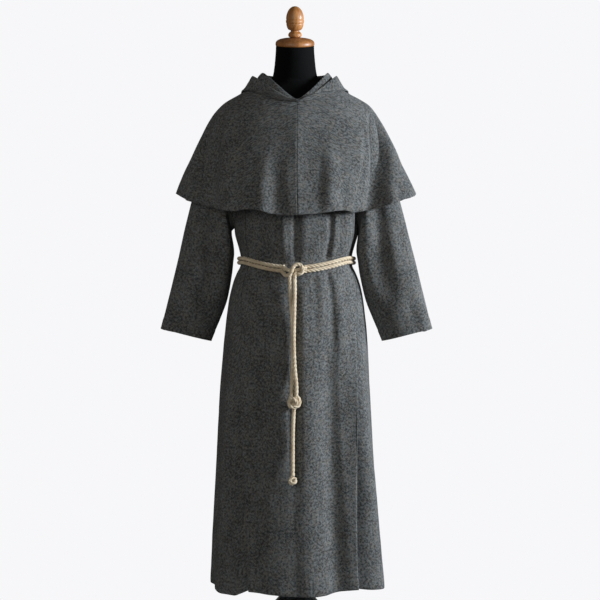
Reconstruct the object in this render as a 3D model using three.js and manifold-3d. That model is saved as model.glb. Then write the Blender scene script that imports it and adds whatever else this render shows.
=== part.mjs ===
// A monk's habit of grey wool tweed on a limbless dress form.
//
// The habit is a long tunic of four panels with set-in sleeves, a shoulder cape of two halves,
// and a hood of two halves that lies folded down round the neck. A doubled cotton rope is tied
// round the waist, and its two ends hang in front. The form is a jersey-covered torso with a
// turned wooden neck cap and finial, on a steel pole with a trumpet-shaped foot.
//
// Millimetres, +Z up, floor at Z = 0. The front faces -Y, and the wearer's left is +X.
// Angles round the figure are in degrees: 0 is the wearer's left side (+X), -90 the front.

import * as THREE from 'three';
import { mergeVertices } from 'three/addons/utils/BufferGeometryUtils.js';
import Module from 'manifold-3d';

const wasm = await Module();
wasm.setup();

// ---- Driving dimensions ------------------------------------------------------------------

const CLOTH = 2.0;            // wall of every cloth piece
const SEAM_GAP = 0.3;         // between two pieces that are sewn together
const ARMHOLE_GAP = 1.4;      // sleeve head outside the tunic's smooth surface
const ROPE = 12;              // rope diameter
const ROPE_LIFT = 1.4;        // rope surface above the cloth it lies on
const HEM_Z = 181;            // tunic hem above the floor
const WAIST_Z = 1140;         // rope belt at the sides and the back
const BELT_DIP = 29;          // the belt sinks this much towards the knot
const SHOULDER_SEAM_Z = 1590; // the front and back panels meet at the side above this height
const NECK_LEAN = 16;         // degrees that the neck cap leans forwards
const NECK_X = -4.5;          // the shoulders and neck stand this far to the wearer's right
const NECK_TOP = { y: -20, z: 1780 };

// The torso of the form: half width, depth to the front and to the back, and how far its
// centre is shifted, by height.
const TORSO = [
  { z: 868, half: 96, front: 74, back: 82, shift: 0 },
  { z: 874, half: 126, front: 98, back: 106, shift: 0 },
  { z: 900, half: 152, front: 112, back: 124, shift: 0 },
  { z: 980, half: 160, front: 114, back: 132, shift: 0 },
  { z: 1080, half: 143, front: 104, back: 108, shift: 0 },
  { z: 1150, half: 134, front: 98, back: 98, shift: 0 },
  { z: 1250, half: 144, front: 108, back: 106, shift: 0 },
  { z: 1370, half: 158, front: 116, back: 116, shift: 0 },
  { z: 1480, half: 172, front: 108, back: 116, shift: 0 },
  { z: 1560, half: 184, front: 94, back: 104, shift: 0 },
  { z: 1592, half: 187, front: 86, back: 93, shift: 0 },
  { z: 1612, half: 177, front: 80, back: 86, shift: 0 },
  { z: 1636, half: 145, front: 73, back: 78.5, shift: 0 },
  { z: 1658, half: 102.5, front: 67, back: 71, shift: 0 },
  { z: 1674, half: 75, front: 62, back: 64, shift: -1 },
  { z: 1694, half: 66, front: 60, back: 61, shift: -5 },
  { z: 1735, half: 60, front: 58, back: 58, shift: -12 },
  { z: NECK_TOP.z, half: 57, front: 57, back: 57, shift: NECK_TOP.y },
];

// The outside of the tunic, by height, and how far its middle is shifted along X. Above the
// armpit the sleeves cut its sides away.
const TUNIC = [
  { z: 170, half: 260, front: 224, back: 224, shift: 2 },
  { z: 272, half: 254, front: 216, back: 219, shift: 0 },
  { z: 422, half: 244, front: 204, back: 210, shift: -3 },
  { z: 572, half: 234, front: 192, back: 200, shift: -5 },
  { z: 722, half: 226, front: 180, back: 190, shift: -5 },
  { z: 872, half: 217, front: 168, back: 180, shift: -3 },
  { z: 1010, half: 203, front: 153, back: 166, shift: -1 },
  { z: 1070, half: 190.5, front: 144, back: 153, shift: 0 },
  { z: 1105, half: 177.5, front: 132, back: 138, shift: 0 },
  { z: 1124, half: 168, front: 127.5, back: 129, shift: 0 },
  { z: WAIST_Z, half: 165.5, front: 127, back: 128, shift: 0 },
  { z: 1156, half: 167.5, front: 128, back: 129, shift: 0 },
  { z: 1180, half: 174, front: 133, back: 135, shift: 0 },
  { z: 1226, half: 186, front: 141, back: 144, shift: 0 },
  { z: 1300, half: 190, front: 143, back: 146, shift: -1 },
  { z: 1400, half: 192, front: 139, back: 142, shift: -3 },
  { z: 1500, half: 196, front: 124, back: 132, shift: -5 },
  { z: 1560, half: 201, front: 108, back: 118, shift: -5 },
  { z: 1592, half: 204, front: 98, back: 107, shift: -5 },
  { z: 1612, half: 193, front: 90, back: 99, shift: -5 },
  { z: 1636, half: 153, front: 81, back: 88, shift: -5 },
  { z: 1658, half: 110, front: 74, back: 80, shift: -5 },
  { z: 1676, half: 82, front: 69, back: 73, shift: -5 },
];

// Where the princess seams run, as angles from the side towards the front or the back.
const SEAMS = [
  { z: 170, frontLeft: 50, frontRight: 57, back: 52 },
  { z: 613, frontLeft: 44, frontRight: 49, back: 47 },
  { z: 905, frontLeft: 36.5, frontRight: 41.5, back: 42 },
  { z: WAIST_Z, frontLeft: 20, frontRight: 32, back: 32 },
  { z: 1275, frontLeft: 33, frontRight: 38, back: 36 },
  { z: 1350, frontLeft: 34, frontRight: 36, back: 35 },
  { z: SHOULDER_SEAM_Z, frontLeft: 0, frontRight: 0, back: 0 },
];

// The main folds of the tunic. Each runs down one angle, and is a ridge where out is above
// zero and a trough below; width is its half width in degrees. It fades in between start and
// full, and out between ebb and end, all heights.
const TUNIC_FOLDS = [
  { name: 'front left ridge', angle: -84, width: 6, out: 5, start: 1110, full: 1040, ebb: 940, end: 840 },
  { name: 'rope trough', angle: -90, width: 6, out: -9, start: 1090, full: 760, ebb: 560, end: 460 },
  { name: 'front left trough', angle: -63, width: 9, out: -11, start: 1110, full: 800, ebb: 120, end: 0 },
  { name: 'front right ridge', angle: -103, width: 8, out: 5, start: 1100, full: 900, ebb: 640, end: 460 },
  { name: 'front right trough', angle: -115, width: 7, out: -4, start: 1100, full: 640, ebb: 120, end: 0 },
  { name: 'waist left trough', angle: -58, width: 5, out: -6, start: 1130, full: 1090, ebb: 940, end: 820 },
  { name: 'side left ridge', angle: -24, width: 13, out: 5, start: 1100, full: 600, ebb: 100, end: 0 },
  { name: 'left seam flare', angle: -31, width: 14, out: 26, start: 860, full: 460, ebb: 40, end: 0 },
  { name: 'front left swell', angle: -80, width: 12, out: 8, start: 1000, full: 760, ebb: 160, end: 0 },
  { name: 'side right ridge', angle: -150, width: 11, out: 8, start: 1060, full: 560, ebb: 100, end: 0 },
  { name: 'side right trough', angle: -165, width: 9, out: -7, start: 1020, full: 520, ebb: 100, end: 0 },
  { name: 'chest trough', angle: -91.5, width: 5.5, out: -7, start: 1100, full: 1160, ebb: 1300, end: 1430 },
  { name: 'chest right ridge', angle: -101.5, width: 5.5, out: 4, start: 1110, full: 1180, ebb: 1300, end: 1430 },
  { name: 'chest hollow', angle: -119, width: 9, out: -8, start: 1100, full: 1180, ebb: 1290, end: 1420 },
  { name: 'chest left trough', angle: -57.5, width: 5, out: -8, start: 1100, full: 1150, ebb: 1290, end: 1420 },
  { name: 'chest left swell', angle: -38, width: 14, out: 8, start: 1110, full: 1180, ebb: 1290, end: 1420 },
  { name: 'back centre ridge', angle: 88, width: 12, out: 8, start: 1120, full: 820, ebb: 120, end: 0 },
  { name: 'back left trough', angle: 68, width: 9, out: -7, start: 1110, full: 760, ebb: 120, end: 0 },
  { name: 'back right trough', angle: 106, width: 10, out: -7, start: 1110, full: 840, ebb: 120, end: 0 },
  { name: 'back left ridge', angle: 40, width: 12, out: 9, start: 1090, full: 620, ebb: 120, end: 0 },
  { name: 'back right ridge', angle: 136, width: 13, out: 9, start: 1090, full: 560, ebb: 120, end: 0 },
];
const BELT_PRESS = 75;        // the rope flattens the folds this far above and below it
const WAIST_REACH = 260;      // the drawn-in waist dies out this far above and below

// Below the waist the front panel stands proud of each of its seams and turns down to it, while
// the side panel rises softly from it: how deep the seam lies and how far the front's edge stands
// out, both at the hem, and the half width of the hollow on the side panel, in degrees.
const SEAM_EDGES = {
  left: { deep: 20, proud: 34, width: 12 },
  right: { deep: 16, proud: 7, width: 10 },
};
const EDGE_TURN = 8;           // the front panel turns down over this many degrees

// The hem's height in front, by angle: it rises at the two seams and dips beside them.
const HEM = [[-180, 181], [-165, 180], [-154, 175.5], [-146, 170.5], [-134, 171.5], [-129, 180],
  [-123, 190], [-117, 188.5], [-105, 184.5], [-90, 181.5], [-80, 181.5], [-72, 183.5], [-66, 187],
  [-59, 192], [-51, 196], [-48, 191], [-38, 185], [-22, 182.5], [-10, 180.5], [0, 181],
].map(([angle, height]) => ({ z: angle, height }));

// The sleeve: each section is an ellipse across the XZ line from its upper or outer edge to
// its lower or inner edge, with a half depth along Y, written for the wearer's left. Both
// sleeves are then shifted along X by the same amount.
const SLEEVE = [
  { outX: 150, outZ: 1604, inX: 150, inZ: 1246, depth: 84, shift: -5 },
  { outX: 200, outZ: 1603, inX: 180, inZ: 1240, depth: 85, shift: -5 },
  { outX: 229, outZ: 1589.2, inX: 192, inZ: 1226, depth: 84, shift: -5 },
  { outX: 249, outZ: 1551, inX: 190.5, inZ: 1205, depth: 82, shift: -5 },
  { outX: 268, outZ: 1480, inX: 187, inZ: 1185, depth: 80, shift: -4 },
  { outX: 290, outZ: 1393, inX: 185.5, inZ: 1160, depth: 77, shift: -3 },
  { outX: 313, outZ: 1301, inX: 189.5, inZ: 1127, depth: 73, shift: -2 },
  { outX: 336, outZ: 1209, inX: 197, inZ: 1080, depth: 69, shift: -1 },
  { outX: 357, outZ: 1125, inX: 208.5, inZ: 1026, depth: 66, shift: 0 },
  { outX: 378, outZ: 1041, inX: 230, inZ: 968, depth: 63, shift: 0 },
  { outX: 393, outZ: 981, inX: 246, inZ: 930, depth: 61, shift: 0 },
  { outX: 404, outZ: 938, inX: 258, inZ: 900.5, depth: 59, shift: 0 },
];

// Sleeve folds: the angle round the section (0 is the outer edge, -90 the front), the place
// along it from 0 at the shoulder to 1 at the cuff, and half widths in both.
const SLEEVE_FOLDS = [
  { name: 'inner front ridge', angle: -140, along: 0.5, width: 22, reach: 0.3, out: 8 },
  { name: 'upper front trough', angle: -93, along: 0.47, width: 32, reach: 0.2, out: -17 },
  { name: 'lower front trough', angle: -104, along: 0.66, width: 32, reach: 0.2, out: -13 },
  { name: 'outer front ridge', angle: -40, along: 0.6, width: 34, reach: 0.3, out: 15 },
  { name: 'cuff front ridge', angle: -42, along: 0.94, width: 30, reach: 0.36, out: 11 },
  { name: 'inner break', angle: -172, along: 0.5, width: 34, reach: 0.1, out: -3 },
  { name: 'back trough', angle: 84, along: 0.76, width: 26, reach: 0.36, out: -7 },
  { name: 'back ridge', angle: 122, along: 0.66, width: 26, reach: 0.26, out: 4 },
];

// The cape from its neckline to its hem: distance out from the axis and height, at the side,
// the front and the back, and the shift of each line along X. rise says how late each line
// climbs towards the shoulder.
const CAPE = [
  { side: [94, 1677], front: [95, 1606], back: [86, 1670], rise: 1.45, shift: -5 },
  { side: [128, 1659.5], front: [105, 1589], back: [98, 1653], rise: 1.4, shift: -5 },
  { side: [165, 1638.5], front: [116, 1566], back: [112, 1627], rise: 1.45, shift: -5 },
  { side: [196, 1622], front: [125, 1541], back: [124, 1597], rise: 1.9, shift: -5 },
  { side: [223, 1604], front: [134, 1516], back: [134, 1566], rise: 2.3, shift: -5 },
  { side: [240, 1584], front: [141, 1490], back: [141, 1535], rise: 2.5, shift: -5 },
  { side: [261, 1550], front: [150, 1452], back: [149, 1492], rise: 2.7, shift: -5 },
  { side: [288, 1496], front: [160, 1408], back: [157, 1440], rise: 2.7, shift: -5 },
  { side: [312, 1444], front: [169, 1362], back: [166, 1388], rise: 2.7, shift: -5 },
  { side: [338, 1392], front: [179, 1315], back: [175, 1337], rise: 2.7, shift: -4 },
  { side: [360, 1341], front: [190, 1267], back: [185, 1283], rise: 2.7, shift: -2 },
];

// Cape folds: each runs from one angle at the neckline, row 0, to another at the hem, row 1;
// start and full say where it grows.
const CAPE_FOLDS = [
  { name: 'right shoulder valley', from: -177, to: -130, width: 10, out: -12, start: 0.42, full: 1 },
  { name: 'right chest ridge', from: -118, to: -105, width: 7, out: 6, start: 0.5, full: 1 },
  { name: 'right centre trough', from: -106, to: -99.5, width: 7.5, out: -10, start: 0.5, full: 1 },
  { name: 'left centre trough', from: -79, to: -79, width: 9, out: -4, start: 0.35, full: 1 },
  { name: 'left chest ridge', from: -60, to: -74, width: 7, out: 13, start: 0.35, full: 1 },
  { name: 'left shoulder line', from: -7, to: -61, width: 5, out: -6, start: 0.42, full: 0.75 },
  { name: 'left shoulder hollow', from: 4, to: -62, width: 20, out: -10, start: 0.7, full: 1 },
  { name: 'left shoulder valley', from: 10, to: -49, width: 10, out: -15, start: 0.42, full: 0.74 },
  { name: 'left tip ridge', from: 2, to: -28, width: 12, out: 18, start: 0.4, full: 0.66 },
  { name: 'back left trough', from: 44, to: 44, width: 9, out: -13, start: 0.4, full: 1 },
  { name: 'back left ridge', from: 63, to: 63, width: 9, out: 7, start: 0.5, full: 1 },
  { name: 'back centre trough', from: 86, to: 86, width: 8, out: -8, start: 0.6, full: 1 },
  { name: 'back right ridge', from: 108, to: 108, width: 11, out: 8, start: 0.5, full: 1 },
  { name: 'back right trough', from: 134, to: 134, width: 9, out: -14, start: 0.4, full: 1 },
];

// How far the cape's hem rides up or hangs lower, by angle.
const CAPE_HEM = [[-180, 0], [-150, -6], [-138, -6.5], [-123, -3.5], [-112, 10], [-104, 4.5],
  [-96, -3.5], [-88, -1], [-80, 2], [-68, 8.5], [-60, -2], [-45, -3], [-35, 2.5], [-9, -5], [0, 0],
].map(([angle, lift]) => ({ z: angle, lift }));

const FRONT_SHIFT = 5.5;       // the front of the cape and hood lies this far towards the left

// The hood, along its cloth. Its under layer lies on the cape, from the neck seam out to the
// lower fold: each row is a line of the cape at the side, the front and the back, and how far
// the cloth lies off it.
const HOOD_SEAT = [
  { side: 0.03, front: 0.008, back: 0.04, lift: 1.4 },
  { side: 0.07, front: 0.014, back: 0.17, lift: 2.3 },
  { side: 0.105, front: 0.02, back: 0.31, lift: 2.7 },
  { side: 0.14, front: 0.026, back: 0.45, lift: 2.7 },
  { side: 0.172, front: 0.032, back: 0.58, lift: 2.5 },
  { side: 0.178, front: 0.036, back: 0.6, lift: 6 },
];

// The rest of it, from above the lower fold up to the outer crest, and over the turned face edge.
const HOOD = [
  { side: [149, 1658], front: [111.5, 1600.5], back: [188, 1508], rise: 2.0, shift: -6 },
  { side: [137, 1677], front: [112, 1603], back: [186, 1592], rise: 1.8, shift: -6 },
  { side: [126.5, 1693], front: [111.5, 1605.5], back: [152, 1660], rise: 1.5, shift: -6 },
  { side: [117, 1682], front: [110.2, 1607.5], back: [128, 1682], rise: 1.4, shift: -5 },
  { side: [108, 1693], front: [108.6, 1609.5], back: [113, 1700], rise: 1.35, shift: -5 },
  { side: [98.5, 1702], front: [105.7, 1611.5], back: [98, 1711], rise: 1.3, shift: -4 },
  { side: [91, 1694], front: [101, 1610.5], back: [88, 1704], rise: 1.3, shift: -4 },
];

// ---- Colours and materials ----------------------------------------------------------------

const WOOL = { color: '#4d5052', roughness: 0.95, metalness: 0 };
const COTTON_ROPE = { color: '#d9c7a4', roughness: 0.9, metalness: 0 };
const JERSEY = { color: '#0b0c0d', roughness: 0.85, metalness: 0 };
const TURNED_WOOD = { color: '#8a5a34', roughness: 0.4, metalness: 0 };
const POLISHED_STEEL = { color: '#b9bcc0', roughness: 0.18, metalness: 1 };

// ---- Small helpers ------------------------------------------------------------------------

const rad = THREE.MathUtils.degToRad;
const lerp = THREE.MathUtils.lerp;
const ramp = THREE.MathUtils.smoothstep;

// A column of a table at any height: a cubic between its rows that never overshoots them.
function read(table, column, z) {
  const last = table.length - 1;
  let i = table.findIndex((row) => row.z > z) - 1;
  if (z >= table[last].z) i = last - 1;
  i = THREE.MathUtils.clamp(i, 0, last - 1);
  const slope = (k) => (k < 0 || k >= last
    ? 0
    : (table[k + 1][column] - table[k][column]) / (table[k + 1].z - table[k].z));
  const tangent = (k) => {
    const [before, after] = [slope(k - 1), slope(k)];
    return before * after <= 0 ? 0 : (2 * before * after) / (before + after);
  };
  const span = table[i + 1].z - table[i].z;
  const t = THREE.MathUtils.clamp((z - table[i].z) / span, 0, 1);
  const [t2, t3] = [t * t, t * t * t];
  return (2 * t3 - 3 * t2 + 1) * table[i][column]
    + (t3 - 2 * t2 + t) * span * tangent(i)
    + (3 * t2 - 2 * t3) * table[i + 1][column]
    + (t3 - t2) * span * tangent(i + 1);
}

// A soft hump of height 1 at the centre and 0 beyond the half width.
function hump(distance, width) {
  const t = Math.min(Math.abs(distance) / width, 1);
  return (1 - t * t) ** 2;
}

// The shorter way round between two angles, in degrees.
const between = (a, b) => THREE.MathUtils.euclideanModulo(a - b + 180, 360) - 180;

// A point on an oval section, whose front and back halves may differ in depth, pushed out
// from the axis by an extra distance.
function oval(angle, half, front, back, extra = 0) {
  const [c, s] = [Math.cos(rad(angle)), Math.sin(rad(angle))];
  const depth = s < 0 ? front : back;
  const away = new THREE.Vector2(c * depth, s * half).normalize().multiplyScalar(extra);
  return new THREE.Vector2(c * half + away.x, s * depth + away.y);
}

function solidOf(geometry) {
  geometry.deleteAttribute('normal');
  geometry.deleteAttribute('uv');
  const merged = mergeVertices(geometry, 1e-4);
  return new wasm.Manifold(new wasm.Mesh({
    numProp: 3,
    vertProperties: new Float32Array(merged.attributes.position.array),
    triVerts: new Uint32Array(merged.index.array),
  }));
}

function geometryOf(solid) {
  const { vertProperties, triVerts, numProp } = solid.getMesh();
  const position = new Float32Array((vertProperties.length / numProp) * 3);
  for (let i = 0; i < position.length / 3; i += 1) {
    position.set(vertProperties.subarray(i * numProp, i * numProp + 3), i * 3);
  }
  const geometry = new THREE.BufferGeometry();
  geometry.setAttribute('position', new THREE.BufferAttribute(position, 3));
  geometry.setIndex(new THREE.BufferAttribute(new Uint32Array(triVerts), 1));
  return geometry;
}

// The unit normal of a surface(u, v), from its own slopes.
function normalAt(surface, u, v) {
  const step = 1e-3;
  const du = surface(u + step, v).sub(surface(u - step, v));
  const dv = surface(u, v + step).sub(surface(u, v - step));
  return du.cross(dv).normalize();
}

// A closed solid between two grids of points: an outer face, an inner face and their rims.
// Where the grid goes all the way round, its first and last columns are one.
function shell(outer, inner, round) {
  const rows = outer.length;
  const columns = outer[0].length;
  const index = [];
  const at = (i, j, side) => side * rows * columns + i * columns + (j % columns);
  const quad = (a, b, c, d) => index.push(a, b, c, a, c, d);
  const end = columns - 1;
  const lastColumn = round ? columns : end;
  for (let i = 0; i < rows - 1; i += 1) {
    for (let j = 0; j < lastColumn; j += 1) {
      quad(at(i, j, 0), at(i, j + 1, 0), at(i + 1, j + 1, 0), at(i + 1, j, 0));
      quad(at(i, j, 1), at(i + 1, j, 1), at(i + 1, j + 1, 1), at(i, j + 1, 1));
    }
  }
  for (let j = 0; j < lastColumn; j += 1) {
    quad(at(0, j, 0), at(0, j, 1), at(0, j + 1, 1), at(0, j + 1, 0));
    quad(at(rows - 1, j, 0), at(rows - 1, j + 1, 0), at(rows - 1, j + 1, 1), at(rows - 1, j, 1));
  }
  if (!round) {
    for (let i = 0; i < rows - 1; i += 1) {
      quad(at(i, 0, 0), at(i + 1, 0, 0), at(i + 1, 0, 1), at(i, 0, 1));
      quad(at(i, end, 0), at(i, end, 1), at(i + 1, end, 1), at(i + 1, end, 0));
    }
  }
  const geometry = new THREE.BufferGeometry().setFromPoints([...outer.flat(), ...inner.flat()]);
  geometry.setIndex(index);
  return geometry;
}

// A cloth wall under the surface(u, v), whose u and v run from 0 to 1. Its side edges stand
// back by half a seam gap, and inwards says on which side of the normal the wall lies.
function cloth(surface, columns, rows, { round = false, inwards = -1 } = {}) {
  const outer = [];
  const inner = [];
  for (let i = 0; i <= rows; i += 1) {
    const v = i / rows;
    const count = round ? columns : columns + 1;
    const faces = Array.from({ length: count }, (_, j) => surface(j / columns, v));
    const backs = faces.map((point, j) => point.clone()
      .addScaledVector(normalAt(surface, j / columns, v), inwards * CLOTH));
    if (!round) {
      for (const line of [faces, backs]) {
        standBack(line, 0, 1);
        standBack(line, columns, columns - 1);
      }
    }
    outer.push(faces);
    inner.push(backs);
  }
  return facingOut(shell(outer, inner, round));
}

function standBack(line, edge, next) {
  const way = line[next].clone().sub(line[edge]).normalize();
  line[edge].addScaledVector(way, SEAM_GAP / 2);
}

// Turns the faces of a closed shape outwards when they point in.
function facingOut(geometry) {
  const { array } = geometry.attributes.position;
  const corner = (k) => new THREE.Vector3().fromArray(array, geometry.index.array[k] * 3);
  let volume = 0;
  for (let k = 0; k < geometry.index.count; k += 3) {
    volume += corner(k).dot(corner(k + 1).cross(corner(k + 2)));
  }
  if (volume < 0) geometry.index.array.reverse();
  return geometry;
}

// A closed solid of stacked rings of points, capped at both ends.
function stack(rings) {
  const columns = rings[0].length;
  const middle = (ring) => ring.reduce((sum, p) => sum.add(p), new THREE.Vector3())
    .divideScalar(columns);
  const points = [...rings.flat(), middle(rings[0]), middle(rings[rings.length - 1])];
  const index = [];
  for (let i = 0; i < rings.length - 1; i += 1) {
    for (let j = 0; j < columns; j += 1) {
      const [a, b] = [i * columns + j, i * columns + ((j + 1) % columns)];
      index.push(a, b, b + columns, a, b + columns, a + columns);
    }
  }
  const top = (rings.length - 1) * columns;
  for (let j = 0; j < columns; j += 1) {
    const next = (j + 1) % columns;
    index.push(points.length - 2, next, j, points.length - 1, top + j, top + next);
  }
  const geometry = new THREE.BufferGeometry().setFromPoints(points);
  geometry.setIndex(index);
  return facingOut(geometry);
}

const group = new THREE.Group();

function add(name, geometry, finish) {
  const mesh = new THREE.Mesh(geometry, new THREE.MeshStandardMaterial(finish));
  mesh.name = name;
  group.add(mesh);
  return mesh;
}

// ---- Tunic ----------------------------------------------------------------------------------

function seamAngle(which, z) {
  return read(SEAMS, which, z);
}

// How far the tunic stands in or out of its plain oval at an angle and a height.
function tunicFold(angle, z) {
  let out = 0;
  for (const fold of TUNIC_FOLDS) {
    const up = Math.abs(ramp(z, Math.min(fold.start, fold.full), Math.max(fold.start, fold.full))
      - (fold.start > fold.full ? 1 : 0));
    const down = Math.abs(ramp(z, Math.min(fold.ebb, fold.end), Math.max(fold.ebb, fold.end))
      - (fold.end > fold.ebb ? 1 : 0));
    out += fold.out * hump(between(angle, fold.angle), fold.width) * up * down;
  }
  out *= 1 - hump(z - beltZ(angle), BELT_PRESS);
  const [left, right] = frontSeams(z);
  return out + seamEdge(between(angle, left), z, SEAM_EDGES.left)
    + seamEdge(between(right, angle), z, SEAM_EDGES.right);
}

const frontSeams = (z) => [-seamAngle('frontLeft', z), seamAngle('frontRight', z) - 180];

// The hollow along a seam, and the front panel's edge beside it; away is the angle from the seam
// towards the side.
function seamEdge(away, z, { deep, proud, width }) {
  const below = WAIST_Z - z;
  const sunk = 3 + deep * ramp(below, 60, WAIST_Z - HEM_Z);
  const stands = proud * ramp(below, 80, 480);
  const side = -sunk * hump(away, width);
  const front = stands * (1 - Math.min(Math.abs(away) / 20, 1)) ** 2
    - (stands + sunk) * hump(away, EDGE_TURN);
  return ramp(below, 10, WAIST_REACH) * (away > 0 ? side : front);
}

// The drawn-in waist follows the rope, so it sinks towards the front like the belt does.
function tunicPoint(angle, z, out = 0) {
  const sunk = z + (WAIST_Z - beltZ(angle)) * (1 - ramp(Math.abs(z - WAIST_Z), 50, WAIST_REACH));
  const flat = oval(angle, read(TUNIC, 'half', sunk), read(TUNIC, 'front', sunk),
    read(TUNIC, 'back', sunk), tunicFold(angle, z) + out);
  return new THREE.Vector3(flat.x + read(TUNIC, 'shift', z), flat.y, z);
}

// The belt's height at an angle: level round the back, sinking to the knot in front.
const beltZ = (angle) => WAIST_Z - BELT_DIP * hump(between(angle, -92), 70);

// The round neckline is low in front, and the hem rises a little at the princess seams.
function neckZ(angle) {
  const c2 = Math.cos(rad(angle)) ** 2;
  return Math.sin(rad(angle)) < 0 ? lerp(1592, 1674, c2 ** 1.5) : lerp(1650, 1674, c2);
}

function hemZ(angle) {
  const round = between(angle, 0);
  return round < 0 ? read(HEM, 'height', round) : HEM_Z;
}

// Heights of the rows of points, closer together at the waist and the shoulders.
const ROW_HEIGHTS = [0, 120, 270, 420, 560, 690, 800, 870, 905, 926, 945, 964, 986, 1020, 1080,
  1170, 1270, 1350, 1400, 1428, 1460, 1495].map((h) => h / 1495);

function rowHeight(v, low, high) {
  const steps = ROW_HEIGHTS.length - 1;
  const place = v * steps;
  const i = THREE.MathUtils.clamp(Math.floor(place), 0, steps - 1);
  return lerp(low, high, lerp(ROW_HEIGHTS[i], ROW_HEIGHTS[i + 1], place - i));
}

function tunicPanel(from, to) {
  return (u, v) => {
    const roughZ = rowHeight(v, HEM_Z, 1674);
    const roughAngle = lerp(from(roughZ), to(roughZ), u);
    const z = rowHeight(v, hemZ(roughAngle), neckZ(roughAngle));
    return tunicPoint(lerp(from(z), to(z), u), z);
  };
}

// The space inside the tunic's outer face round the armholes, grown by a margin.
function tunicEnvelope(margin) {
  const rings = Array.from({ length: 49 }, (_, i) => Array.from({ length: 120 },
    (__, j) => tunicPoint(3 * j, lerp(1150, 1674, i / 48), margin)));
  return solidOf(stack(rings));
}

// ---- Sleeves --------------------------------------------------------------------------------

const SLEEVE_STATIONS = SLEEVE.map((row, i) => ({ ...row, z: i }));

// A point of the sleeve's outer face: angle round it, and place from 0 to 1 down its length.
function sleevePoint(side, angle, along, inset = 0) {
  const place = along * (SLEEVE.length - 1);
  const at = (column) => read(SLEEVE_STATIONS, column, place);
  const outer = new THREE.Vector3(at('outX'), 0, at('outZ'));
  const inner = new THREE.Vector3(at('inX'), 0, at('inZ'));
  const across = outer.clone().sub(inner);
  const half = across.length() / 2;
  const flat = oval(angle, half - inset, at('depth') - inset, at('depth') - inset,
    SLEEVE_FOLDS.reduce((sum, fold) => sum + fold.out
      * hump(between(angle, fold.angle), fold.width) * hump(along - fold.along, fold.reach), 0));
  const point = outer.add(inner).divideScalar(2)
    .addScaledVector(across.normalize(), flat.x);
  return new THREE.Vector3(side * point.x + at('shift'), flat.y, point.z);
}

const SLEEVE_ROWS = 11;
const SLEEVE_COLUMNS = 18;

function sleeveHollow(side) {
  const rings = [];
  for (let i = 0; i <= SLEEVE_ROWS; i += 1) {
    rings.push(Array.from({ length: SLEEVE_COLUMNS }, (_, j) => sleevePoint(
      side, (360 * j) / SLEEVE_COLUMNS, i / SLEEVE_ROWS, CLOTH)));
  }
  return solidOf(stack(rings));
}

function buildTunicAndSleeves() {
  const frontLeft = (z) => -seamAngle('frontLeft', z);
  const frontRight = (z) => seamAngle('frontRight', z) - 180;
  const backLeft = (z) => seamAngle('back', z);
  const backRight = (z) => 180 - seamAngle('back', z);
  const panels = [
    { name: 'tunic_front', from: frontRight, to: frontLeft, columns: 26 },
    { name: 'tunic_back', from: backLeft, to: backRight, columns: 14 },
    { name: 'tunic_side_left', from: frontLeft, to: backLeft, columns: 8 },
    { name: 'tunic_side_right', from: backRight, to: (z) => frontRight(z) + 360, columns: 8 },
  ];
  const hollows = [sleeveHollow(1), sleeveHollow(-1)];
  for (const { name, from, to, columns } of panels) {
    let solid = solidOf(cloth(tunicPanel(from, to), columns, ROW_HEIGHTS.length - 1));
    for (const hollow of hollows) solid = solid.subtract(hollow);
    add(name, geometryOf(largest(solid)), WOOL);
  }
  const envelope = tunicEnvelope(ARMHOLE_GAP);
  for (const [name, side] of [['sleeve_left', 1], ['sleeve_right', -1]]) {
    const surface = (u, v) => sleevePoint(side, 360 * u, v);
    const tube = solidOf(cloth(surface, SLEEVE_COLUMNS, SLEEVE_ROWS, { round: true, inwards: -side }));
    add(name, geometryOf(largest(tube.subtract(envelope))), WOOL);
  }
}

// A cut can leave crumbs, and the piece itself is the largest body that it leaves.
function largest(solid) {
  return solid.decompose().reduce((best, body) => (body.volume() > best.volume() ? body : best));
}

// ---- Cape and hood --------------------------------------------------------------------------

// A point on a table of lines that ring the neck: line counts its rows from 0 to 1.
function ringPoint(table, line, angle, out) {
  const stations = table.map((row, i) => ({
    z: i,
    sideOut: row.side[0],
    sideZ: row.side[1],
    frontOut: row.front[0],
    frontZ: row.front[1],
    backOut: row.back[0],
    backZ: row.back[1],
    rise: row.rise,
    shift: row.shift,
  }));
  const at = (column) => read(stations, column, line * (table.length - 1));
  const flat = oval(angle, at('sideOut'), at('frontOut'), at('backOut'), out);
  const toSide = Math.abs(Math.cos(rad(angle))) ** at('rise');
  const middle = Math.sin(rad(angle)) < 0 ? at('frontZ') : at('backZ');
  const aside = at('shift') + FRONT_SHIFT * ramp(-Math.sin(rad(angle)), 0, 1);
  return new THREE.Vector3(flat.x + aside, flat.y, lerp(middle, at('sideZ'), toSide));
}

// The cape's front stands out along its middle seam like a blunt keel, sharper towards the hem.
function keel(line, angle) {
  if (Math.sin(rad(angle)) >= 0) return 0;
  const low = ramp(line, 0.3, 0.8);
  const place = line * (CAPE.length - 1);
  const half = read(CAPE.map((row, i) => ({ z: i, half: row.side[0] })), 'half', place);
  const aside = Math.abs(Math.cos(rad(angle)) * half - 4);
  return ramp(line, 0.06, 0.3) * (7 - 4.2 * low)
    * (1 - Math.min(aside / (70 - 48 * low), 1)) ** 1.5;
}

function capePoint(line, angle) {
  const out = CAPE_FOLDS.reduce((sum, fold) => sum + fold.out
    * hump(between(angle, lerp(fold.from, fold.to, line)), fold.width)
    * ramp(line, fold.start, fold.full), keel(line, angle));
  const point = ringPoint(CAPE, line, angle, out);
  point.z += read(CAPE_HEM, 'lift', between(angle, 0)) * ramp(line, 0.7, 1);
  return point;
}

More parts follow.
